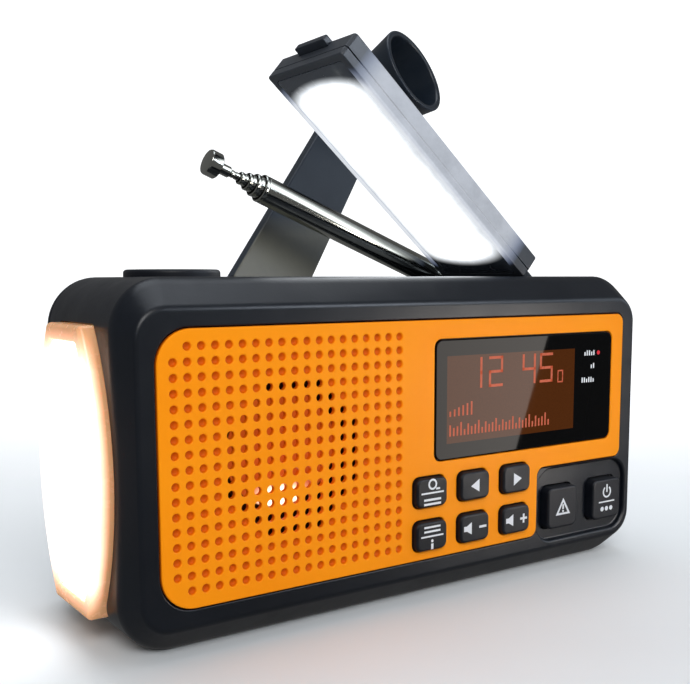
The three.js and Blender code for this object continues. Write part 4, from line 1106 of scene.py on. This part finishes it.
# ---------- side torch ----------
def make_torch():
    face = -TORCH_LOW.x
    rim = 4.0
    bezel = stack("torch_surround", barrel(), slab(-TORCH_HIGH.x, face, 0.2, 1.3, 6), FACING_LEFT)
    carve(bezel, stack("torch_hole", barrel(-rim), well(-TORCH_HIGH.x - 1, face, 0.7), FACING_LEFT))
    finish_piece(bezel, "case", amber_shell("torch_amber"), ["torch_bezel"])
    lens_low, lens_high = span("torch_lens")
    back = -lens_high.x
    front = -lens_low.x
    dome = [(0, back), (0, front - 0.5), (0.25, front - 0.25)]
    dome += [(1 + 15.0 * (1 - math.cos(a)), front - 0.1 + 0.5 * math.sin(a)) for a in arc(6)]
    lens = stack("torch_glass", barrel(-rim - GAP), dome, FACING_LEFT)
    spots = [(-HALF_W, y, TORCH_Z + z) for y in (-6, 6) for z in (-21, -7, 7, 21)]
    finish_piece(lens, "case", glowing("torch_glow", spots, 3.0, 8.0, 16), ["torch_lens"])


# ---------- top button ----------
def make_button():
    low, high = BUTTON_LOW, BUTTON_HIGH
    place = Matrix.Translation((BUTTON_X, 0, 0))
    r = BUTTON_R
    top = high.z
    profile = [*raised([(r + 1.1, 0), (r + 1.1, 1.2), (r, 1.3)], low.z), (r, top - 0.9)]
    profile += [(r - 0.9 * (1 - math.cos(a)), top - 0.9 * (1 - math.sin(a)))
                for a in arc(6)[1:]]
    profile += raised([(r - 2.4, 0), (r - 2.7, -0.08), (r - 2.95, -0.3), (4.0, -0.55), (0.4, -0.6)], top)
    cap = turned("lamp_cap", profile, place, 96)
    finish_piece(cap, "lamp_button", key_look, ["lamp_button"])
    rays = []
    for k in range(8):
        a = math.pi / 4 * k
        turn = Matrix.Rotation(a, 2)
        rays.append([tuple(turn @ Vector(p)) for p in bar(3.1, 4.7, -0.28, 0.28)])
    shapes = [arc_band((0, 0), 1.5, 2.1, 0, 360, 28)] + rays
    sign = inlay("legend_lamp", shapes, place, top - 0.62)
    finish_piece(sign, "lamp_button", legend_look)


# ---------- lid ----------
def lid_outline(inset=0.0, radius=1.0):
    return rounded_rect(LID_FREE + inset, LID_END - inset, -LID_HALF_W + inset, LID_HALF_W - inset, radius, 8)


def solar_look():
    look = Look("solar_cells")
    tone = look.remap(look.grains(220), 0.0, 0.9, 0, 1)
    colour = look.mix(tone, (0.004, 0.010, 0.042), (0.010, 0.022, 0.085))
    look.set(Base_Color=colour, Roughness=look.vary(0.12, 0.2, 120, 4))
    look.set(Coat_Weight=0.8, Coat_Roughness=0.06, Metallic=0.25)
    look.bump(look.noise(60, 1), 0.01, 0.3)
    return look.material


def make_solar():
    """Dark cells side by side under a clear coat, with silver fingers and bus bars."""
    inset = 7.9
    u0, u1 = LID_FREE + inset, LID_END - inset
    v1 = LID_HALF_W - inset
    low, top = LID_TOP - 0.8, LID_TOP - 0.2
    tray = stack("solar_panel", lid_outline(inset, 1.2), slab(low, top, 0.05, 0.1, 2), LID)
    finish_piece(tray, "lid", solar_look(), ["solar_cell"])
    cells = 6
    pitch = (u1 - u0) / cells
    strips = []
    for k in range(1, cells):
        strips.append(bar(u0 + k * pitch - 0.22, u0 + k * pitch + 0.22, -v1 + 0.5, v1 - 0.5))
    for side in (-1, 1):
        strips.append(bar(u0 + 0.6, u1 - 0.6, side * v1 / 2 - 0.35, side * v1 / 2 + 0.35))
    step = pitch / 6
    for k in range(cells):
        for j in range(1, 6):
            u = u0 + k * pitch + j * step
            strips.append(bar(u - 0.06, u + 0.06, -v1 + 0.7, v1 - 0.7))
    lines = []
    for k, strip in enumerate(strips):
        lines.append(inlay("strip", [strip], LID, top - 0.02 + 0.004 * (k % 3), 0.04))
    finish_piece(gather("solar_lines", lines), "lid", steel_look)


def make_lid():
    split = LID_SPLIT + GAP
    cover = stack("lid_top", lid_outline(), slab(split, LID_TOP, 0.12, 0.4, 5), LID)
    knuckles = []
    for side in (-1, 1):
        v = side * 10.5
        place = LID @ SIDEWAYS
        ends = slab(v - 2.5, v + 2.5, 0.25, 0.25, 3)
        knuckles.append(stack("knuckle", circle(2.6, 40), ends, place))
        knuckles.append(brick("web", (LID_END - 1, 0, v - 2.5, v + 2.5, 0.2, 2), slab(-1, 1.8), LID))
    weld(cover, *knuckles)
    bore = stack("bore", circle(1.4, 32), CUT_ACROSS, LID @ SIDEWAYS)
    carve(
        cover,
        stack("inside", lid_outline(1.8, 1), [(0, split - 1), (0, 0.6)], LID),
        stack("solar_tray", lid_outline(7.5, 1.5), well(LID_TOP - 1.1, LID_TOP, 0.35), LID),
        bore,
        brick("catch_slot", (LID_FREE - 3, LID_FREE + 6.9, -7.3, 7.3, 0.5, 4),
              well(1.4, LID_TOP, 0.25), LID),
    )
    finish_piece(cover, "lid", lid_look, ["lid_cover"])
    under = stack("lid_under", lid_outline(), slab(LID_LOW_W, LID_SPLIT, 0.35, 0.12, 5), LID)
    rim = raised([(-0.2, -1), (-0.2, 0.02), (-0.08, 0.1), (0, 0.25)], LID_LOW_W)
    hole = stack("lamp_hole", lid_outline(LAMP_RIM, 1.0), [*rim, (0, split + 1)], LID)
    carve(under, hole)
    finish_piece(under, "lid", lid_look, ["lid_frame"])
    levels = raised([(5.0, -0.12), (2.0, -0.1), (0.5, 0), (0.1, 0.08), (0, 0.2)], LID_LOW_W)
    levels.append((0, LID_SPLIT - 0.4))
    opal = stack("lamp_opal", lid_outline(LAMP_RIM + 0.06, 1.0), levels, LID)
    finish_piece(opal, "lid", lamp_look(), ["lamp_diffuser"])
    tab = brick("catch_tab", (LID_FREE - 2.2, LID_FREE + 4, -7, 7, 0.5, 4),
                slab(1.7, LID_TOP + 0.3, 0.2, 0.5, 4), LID)
    grip = brick("grip", (LID_FREE + 2.5, LID_FREE + 4.9, -4, 4, 0.4, 4),
                 slab(1.7, LID_TOP + 0.9, 0.2, 0.35, 4), LID)
    weld(tab, grip)
    finish_piece(tab, "lid_catch", crank_look, ["lid_catch"])
    make_solar()


# ---------- antenna ----------
ANTENNA_RADII = [4.1, 3.35, 2.6, 1.85, 1.1]
TUBE_END = 75.5
TUBE_STEP = 2.35
TIP_END = 93.3
TUBE_WALL = 0.35


def make_antenna():
    along = ANTENNA @ axes_frame(ORIGIN, Y_AXIS, Z_AXIS, X_AXIS) @ Matrix.Rotation(math.pi, 4, "Y")
    bodies = ["antenna_base", "antenna_2", "antenna_3", "antenna_4", "antenna_5"]
    last = len(ANTENNA_RADII) - 1
    for i, r in enumerate(ANTENNA_RADII):
        start = 5 + 2 * i
        end = TUBE_END + TUBE_STEP * i + (0.6 if i == last else 0)
        bore = r - TUBE_WALL
        lip = 0.22 if i < last else 0.1
        shape = [(r - 0.3, start), (r, start + 0.3)]
        shape += raised([(r, -1.6), (r - 0.14, -1.4), (r - 0.14, -1.1), (r, -0.9), (r, -lip),
                         (r - lip, 0)], end)
        if i < last:
            shape += [(bore, end), (bore, start + 1.6), (0.3, start + 1.6)]
        else:
            shape += [(0.2, end)]
        tube = turned(f"antenna_tube_{i + 1}", shape, along, 40)
        if i == 0:
            tongue_round = stack("tongue", circle(2.5, 32), slab(-1.2, 1.2, 0.2, 0.2, 3),
                                 ANTENNA @ SIDEWAYS)
            tongue = brick("neck", (-6, 0, -1.2, 1.2, 0.2, 3), slab(-2.3, 2.3, 0.2, 0.2, 3), ANTENNA)
            weld(tube, tongue_round, tongue)
            carve(tube, stack("eye", circle(1.2, 24), [(0, -5), (0, 5)],
                              ANTENNA @ SIDEWAYS))
        finish_piece(tube, bodies[i], chrome_look, [f"antenna_section_{i + 1}"])
    neck = TUBE_END + last * TUBE_STEP + 0.9
    button = TIP_END - 3.8
    tip = raised([(1.4, 0), (1.6, 0.2)], neck)
    tip += raised([(1.6, -0.5), (2.0, -0.05), (3.4, 0.05), (3.7, 0.35)], button)
    tip += raised([(3.7, -0.6), (3.5, -0.2), (3.0, -0.03), (0.3, 0)], TIP_END)
    cap = turned("antenna_button", tip, along, 48)
    finish_piece(cap, "antenna_5", chrome_look, ["antenna_tip"])
    low, high = span("antenna_foot")
    pin = pivot("antenna_tilt")
    mid = (low.y + high.y) / 2
    half = (high.y - low.y) / 2
    foot = brick("antenna_base_plate", (low.x, high.x, low.y, high.y, 1, 5), slab(low.z, 81, 0.1, 0.35))
    across = Matrix.Translation((pin.x, mid, pin.z)) @ SIDEWAYS
    weld(
        foot,
        brick("cheeks", (pin.x - 2.6, pin.x + 2.6, low.y, high.y, 0.3, 3), [(0, 80), (0, pin.z)]),
        stack("cheek_round", circle(2.6, 40), slab(-half, half, 0.3, 0.3, 3), across),
    )
    carve(foot, brick("fork", (pin.x - 10, pin.x + 10, pin.y - 1.5, pin.y + 1.5, 0.2, 2),
                      [(0, 80.8), (0, 95)]),
          stack("eye", circle(1.2, 24), [(0, -10), (0, 10)], across))
    finish_piece(foot, "case", steel_look, ["antenna_foot"])


# ---------- crank ----------
def arm_outline(inset=0.0):
    """Tapered from the fold to a round end at the knob; both sides are straight."""
    root_half = 12.2
    tip_r = 9.5 - inset
    tilt = math.atan((root_half - 9.5) / ARM_L)
    root = 4.0 + inset
    corner = 1.2
    points = []
    root_v = root_half - inset
    for k in range(7):
        a = math.pi / 2 * (2 - k / 6)
        points.append((root + corner + corner * math.cos(a), root_v - corner + corner * math.sin(a)))
    tip = []
    for k in range(33):
        a = math.pi / 2 - tilt - (math.pi - 2 * tilt) * k / 32
        tip.append((ARM_L + tip_r * math.cos(a), tip_r * math.sin(a)))
    upper = points + tip
    lower = [(u, -v) for u, v in reversed(points)]
    return list(reversed(upper + lower))


EAR_R = 2.9                 # radius of the knuckles at the fold


def make_crank():
    ear_centres = (-6.2, 6.2)
    ear_half = 2.1
    pin_at = (FOLD - HUB).dot(HUB_X)
    face = HALF_D + 0.5
    hub_place = CRANK @ SIDEWAYS     # u is the crank's z, v its x, w its y
    hub = stack("crank_base", circle(12.5, 80), slab(face, face + 3, 0.2, 0.6, 5), hub_place)
    parts = [
        brick("spread", (-8.3, 8.3, 0, pin_at + EAR_R, 0.6, 4), slab(face, face + 3, 0.2, 0.5, 4), hub_place),
        stack("shaft", circle(2.5, 32), [(0, 12.6), (0, face + 1)], hub_place),
    ]
    pin_place = CRANK @ Matrix.Translation((pin_at, FOLD.y, 0))
    for centre in ear_centres:
        near, far = centre - ear_half, centre + ear_half
        parts.append(stack("ear", circle(EAR_R, 48), slab(near, far, 0.35, 0.35, 4), pin_place))
        post = (near, far, pin_at - EAR_R, pin_at + EAR_R, 0.4, 3)
        parts.append(brick("post", post, [(0, face), (0, FOLD.y)], hub_place))
    weld(hub, *parts)
    carve(
        hub,
        brick("clear", (-3.8, 3.8, pin_at - 3.4, 30, 0.2, 3), [(0, face + 1), (0, 60)], hub_place),
        stack("eye", circle(1.5, 32), CUT_ACROSS, pin_place),
        turned("groove", raised([(11.0, 2.7), (11.4, 2.7), (11.4, 3.4), (11.0, 3.4)], face),
               hub_place, 64, True),
    )
    finish_piece(hub, "crank", crank_look, ["crank_hub"])

    arm = stack("crank_lever", arm_outline, slab(ARM_BACK, ARM_FRONT, 0.6, 0.6, 5), ARM)
    fold_place = Matrix.Translation(FOLD) @ axes_frame(ORIGIN, ARM_X, ARM_W.cross(ARM_X).cross(ARM_X), HUB_Z)
    weld(
        arm,
        brick("tongue", (0, 6, -3.5, 3.5, 0.3, 3), slab(ARM_BACK, 2.6, 0.3, 0.3, 3), ARM),
        brick("step", (2.4, 6, -3.5, 3.5, 0.3, 3), slab(ARM_BACK, ARM_FRONT, 0.3, 0.5, 3), ARM),
        stack("barrel", circle(2.9, 48), slab(-3.5, 3.5, 0.3, 0.3, 4), fold_place),
        turned("boss", [(5.4, -1.0), (5.4, 3.2), (5.1, 3.6), (4.8, 3.7)], KNOB, 48),
    )
    carve(arm, stack("pin_hole", circle(1.5, 32), CUT_ACROSS, fold_place))
    finish_piece(arm, "arm", arm_look, ["crank_arm"])

    base, mouth, wall = 4.2, 20.6, 2.0
    r0, r1 = 11.8, 14.7
    outer = [(1.9, base), (r0, base), (r1, mouth), (r1 - wall, mouth)]
    outer += [(r0 - wall, base + 2.2), (1.9, base + 2.2)]
    cup = round_profile(outer, 0.8, 5)
    finish_piece(turned("crank_cup", cup, KNOB, 96, True), "knob", knob_look, ["crank_knob"])
    head = [(1.6, -0.7)]
    head += raised([(1.6, 2.5), (3.7, 2.5), (4.0, 2.8), (4.0, 3.6), (3.4, 4.2), (1.4, 4.3), (1.3, 3.7),
                    (0.2, 3.65)], base)
    finish_piece(turned("knob_rivet", head, KNOB, 40), "arm", steel_look, ["knob_spindle"])


# ---------- back: screws and port cover ----------
def make_back():
    for name in SCREWS:
        x, z = centre_xz(name)
        place = Matrix.Translation((x, 0, z)) @ FACING_BACK
        top = span(name)[1].y
        profile = [(1.2, 8)]
        profile += raised([(1.2, -1.1), (2.3, -1.1), (2.5, -0.9), (2.5, -0.4), (2.1, -0.08), (1.2, 0),
                           (0.2, 0)], top)
        screw = turned(name.replace("case_", ""), profile, place, 32)
        cross = []
        for half_u, half_v in ((1.5, 0.28), (0.28, 1.5)):
            cross.append(brick("slot", (-half_u, half_u, -half_v, half_v, 0.1, 2),
                               [(0.12, top - 0.8), (0, top + 1)], place))
        carve(screw, *cross)
        finish_piece(screw, "case", steel_look, [name])
    low, high = span("port_cover")
    outline = rounded_rect(-high.x, -low.x, low.z, high.z, 1.0, 6)
    flap = stack("port_flap", outline, slab(low.y, high.y, 0.1, 0.3), FACING_BACK)
    grip = brick("grip", (-high.x + 9, -low.x - 9, high.z - 2.6, high.z - 1.2, 0.6, 5),
                 slab(high.y - 0.3, high.y + 0.35, 0.1, 0.25), FACING_BACK)
    weld(flap, grip)
    finish_piece(flap, "port_cover", port_look, ["port_cover"])


# ---------- speaker cone ----------
def oval(look, x, z, squeeze):
    """Distance from (x, z) in metres, growing faster by that factor along Z."""
    place = look.parts()
    across = look.apart(place["X"], x * MM)
    up = look.times(look.apart(place["Z"], z * MM), squeeze)
    both = look.math("ADD", look.math("POWER", across, 2.0), look.math("POWER", up, 2.0))
    return look.math("POWER", both, 0.5)


def cone_look():
    """Thin red film with painted light: a dull red glow all over, a painted highlight brightest low in the
    middle, and painted shade, near black, round its outer edge.
    """
    look = Look("speaker_film")
    x, z = SPEAKER_CENTRE
    # painted shade: outside this oval the film is near black and does not glow
    film = look.remap(oval(look, x - 0.8, z + 1.5, 1.09), 15.7 * MM, 15.1 * MM, 0, 1)
    # painted highlight: a bright spot low in the middle, drawn as emission
    from_painted_highlight = oval(look, x - 0.6, z - 10.9, 2.1)
    painted_highlight = look.math("POWER", look.remap(from_painted_highlight, 4.5 * MM, 12.5 * MM, 1, 0), 1.8)
    red = look.mix(look.noise(160, 4), (0.46, 0.070, 0.012), (0.56, 0.100, 0.018))
    look.set(Base_Color=look.mix(film, (0.004, 0.003, 0.003), red))
    look.set(Emission_Color=look.mix(painted_highlight, (0.60, 0.105, 0.012), (1.0, 0.74, 0.50)))
    # painted glow: the whole film emits, standing in for the light that reaches it through the holes
    glow = look.math("ADD", look.vary(0.42, 0.68, 120, 3), look.times(painted_highlight, 2.4))
    look.set(Emission_Strength=look.times(film, glow), Roughness=0.5, Specular_IOR_Level=0.2)
    look.bump(look.noise(400), 0.05, 0.5)
    return look.material


def make_speaker():
    place = FACING_FRONT @ Matrix.Translation((*SPEAKER_CENTRE, 0))
    profile = [(0.3, 22.8), (5, 22.2), (9, 21.4), (15, 23.4), (16.6, 24.2), (17.4, 24.4), (17.4, 23.6),
               (16.4, 23.2), (9, 20.6), (5, 16.4), (0.3, 16.4)]
    cone = turned("speaker_film", profile, place, 72)
    finish_piece(cone, "case", cone_look(), ["speaker_cone"])


# ---------- looks of the CAD nodes that keep their shape ----------
def dress_inner_nodes():
    body = plastic("display_body", (0.03, 0.03, 0.032), (0.04, 0.04, 0.042), (0.1, 0.1, 0.1), 0.35)
    pins = "lid_hinge_pin antenna_pin crank_fold_pin"
    for look, nodes in (
        (body, "display_module"),
        (board_look, "main_board usb_board"),
        (white_board_look, "torch_led_board lamp_led_board"),
        (key_look, "keypad_mat"),
        (basket_look, "speaker_frame"),
        (chrome_look, "torch_reflector"),
        (steel_look, "speaker_magnet generator_pinion generator gear_plate " + pins),
        (nylon_look, "crank_gear middle_gear battery_cradle"),
        (cell_look, "battery_cell"),
    ):
        for node in nodes.split():
            cad_look(node, look)


make_front_shell()
make_rear_shell()
make_front_plate()
make_display()
make_keys()
make_torch()
make_button()
make_lid()
make_antenna()
make_crank()
make_back()
make_speaker()
dress_inner_nodes()


# ---------- stage ----------
def floor_look():
    """Pale paper that brightens into a white background away from the camera."""
    look = Look("floor_paper")
    away = look.vector("DOT_PRODUCT", look.place, (math.sin(CAMERA_YAW), math.cos(CAMERA_YAW), 0))
    around = look.remap(look.vector("LENGTH", look.place), 0.45, 1.3, 0, 1)
    far = look.math("MAXIMUM", look.remap(away, -0.06, 0.46, 0, 1), around)
    drift = look.vary(0, 1, 3, 3)
    look.set(Base_Color=look.mix(drift, (0.735, 0.765, 0.785), (0.765, 0.795, 0.815)), Specular_IOR_Level=0.2)
    look.set(Emission_Color=(1, 1, 1), Emission_Strength=look.times(look.math("POWER", far, 1.3), 0.8))
    look.set(Roughness=look.vary(0.55, 0.7, 40))
    look.bump(look.noise(1500, 2), 0.02, 0.2)
    return look.material


FLOOR_HALF = 2600
FLOOR_NEAR = -1600
FLOOR_FAR = 1500
SWEEP_R = 900
FLOOR_TOP = 3200


def make_floor():
    """A pale sweep: flat under the radio, curved up far behind it."""
    profile = [(FLOOR_NEAR, 0), (FLOOR_FAR, 0)]
    profile += [(FLOOR_FAR + SWEEP_R * math.sin(a), SWEEP_R * (1 - math.cos(a))) for a in arc(16)[1:]]
    profile += [(FLOOR_FAR + SWEEP_R, FLOOR_TOP)]
    away = Vector((math.sin(CAMERA_YAW), math.cos(CAMERA_YAW), 0))
    side = Vector((math.cos(CAMERA_YAW), -math.sin(CAMERA_YAW), 0))
    vertices = []
    for reach, height in profile:
        for s in (-1, 1):
            vertices.append(away * reach + side * s * FLOOR_HALF + Vector((0, 0, height)))
    faces = [(2 * i, 2 * i + 1, 2 * i + 3, 2 * i + 2) for i in range(len(profile) - 1)]
    floor = mesh_object("floor", vertices, faces)
    floor.data.shade_smooth()
    floor.data.materials.append(floor_look())
    floor.visible_glossy = False


def area_light(name, at, target, width, height, power, colour=(1, 1, 1)):
    light = bpy.data.lights.new(name, "AREA")
    light.shape = "RECTANGLE"
    light.size = width * MM
    light.size_y = height * MM
    light.energy = power
    light.color = colour
    obj = bpy.data.objects.new(name, light)
    obj.location = Vector(at) * MM
    obj.rotation_euler = (Vector(target) - Vector(at)).to_track_quat("-Z", "Y").to_euler()
    bpy.context.scene.collection.objects.link(obj)
    return obj


CARD_Y = -150
CARD_GLOW = 13.0


def make_card():
    """A bright card seen only as a reflection: the slanted sheen on the left part of the window."""
    corners = [(96, 68), (173, 68), (143, -12), (96, -12)]
    card = mesh_object("reflection_card", [(x, CARD_Y, z) for x, z in corners], [(0, 1, 2, 3)])
    look = Look("card_light")
    falloff = look.vary(0.9, 1.05, 9, 1)
    look.set(Base_Color=(0, 0, 0), Emission_Color=(1.0, 0.93, 0.86))
    look.set(Emission_Strength=look.times(falloff, CARD_GLOW))
    card.data.materials.append(look.material)
    card.visible_camera = False
    card.visible_diffuse = False
    card.visible_shadow = False
    card.visible_transmission = False


CAMERA_AT = Vector((-159.35, -221.82, 84.94))
CAMERA_YAW = math.radians(34.7565)
CAMERA_PITCH = math.radians(6.8337)
CAMERA_ROLL = math.radians(-0.1444)
LENS_MM = 50.44
SHIFT_X = -0.00725
SHIFT_Y = 0.0768


def make_camera():
    data = bpy.data.cameras.new("camera")
    data.sensor_width = 36
    data.lens = LENS_MM
    data.shift_x = SHIFT_X
    data.shift_y = SHIFT_Y
    data.clip_start = 0.01
    camera = bpy.data.objects.new("camera", data)
    turn = Matrix.Rotation(-CAMERA_YAW, 4, "Z") @ Matrix.Rotation(math.pi / 2 - CAMERA_PITCH, 4, "X")
    camera.matrix_world = Matrix.Translation(CAMERA_AT * MM) @ turn @ Matrix.Rotation(CAMERA_ROLL, 4, "Z")
    bpy.context.scene.collection.objects.link(camera)
    bpy.context.scene.camera = camera


WORLD_DIFFUSE = 0.28        # the camera itself sees the world at full strength
WORLD_GLOSSY = 0.17


def make_world():
    world = bpy.data.worlds.new("studio")
    world.use_nodes = True
    background = world.node_tree.nodes["Background"]
    background.inputs["Color"].default_value = (1.0, 1.0, 1.0, 1)
    tree = world.node_tree
    path = tree.nodes.new("ShaderNodeLightPath")
    level = tree.nodes.new("ShaderNodeMapRange")
    level.inputs["To Max"].default_value = 1.0
    bounce = tree.nodes.new("ShaderNodeMapRange")
    bounce.inputs["To Min"].default_value = WORLD_DIFFUSE
    bounce.inputs["To Max"].default_value = WORLD_GLOSSY
    tree.links.new(path.outputs["Is Glossy Ray"], bounce.inputs["Value"])
    tree.links.new(bounce.outputs["Result"], level.inputs["To Min"])
    tree.links.new(path.outputs["Is Camera Ray"], level.inputs["Value"])
    tree.links.new(level.outputs["Result"], background.inputs["Strength"])
    bpy.context.scene.world = world
    bpy.context.scene.view_settings.view_transform = "Standard"


make_camera()
make_floor()
make_world()
area_light("key_light", (-350, -650, 620), (0, 0, 50), 520, 420, 4.6)
area_light("top_light", (60, 120, 900), (0, 20, 60), 700, 500, 2.6, (0.86, 0.92, 1.0))
area_light("fill_light", (700, -350, 300), (40, 0, 50), 400, 400, 0.9, (0.75, 0.86, 1.0))
sheen = area_light("lid_sheen", (150, -250, 215), (-5, -18, 125), 120, 120, 0.4, (0.80, 0.88, 1.0))
sheen.visible_diffuse = False
sheen.visible_camera = False
make_card()
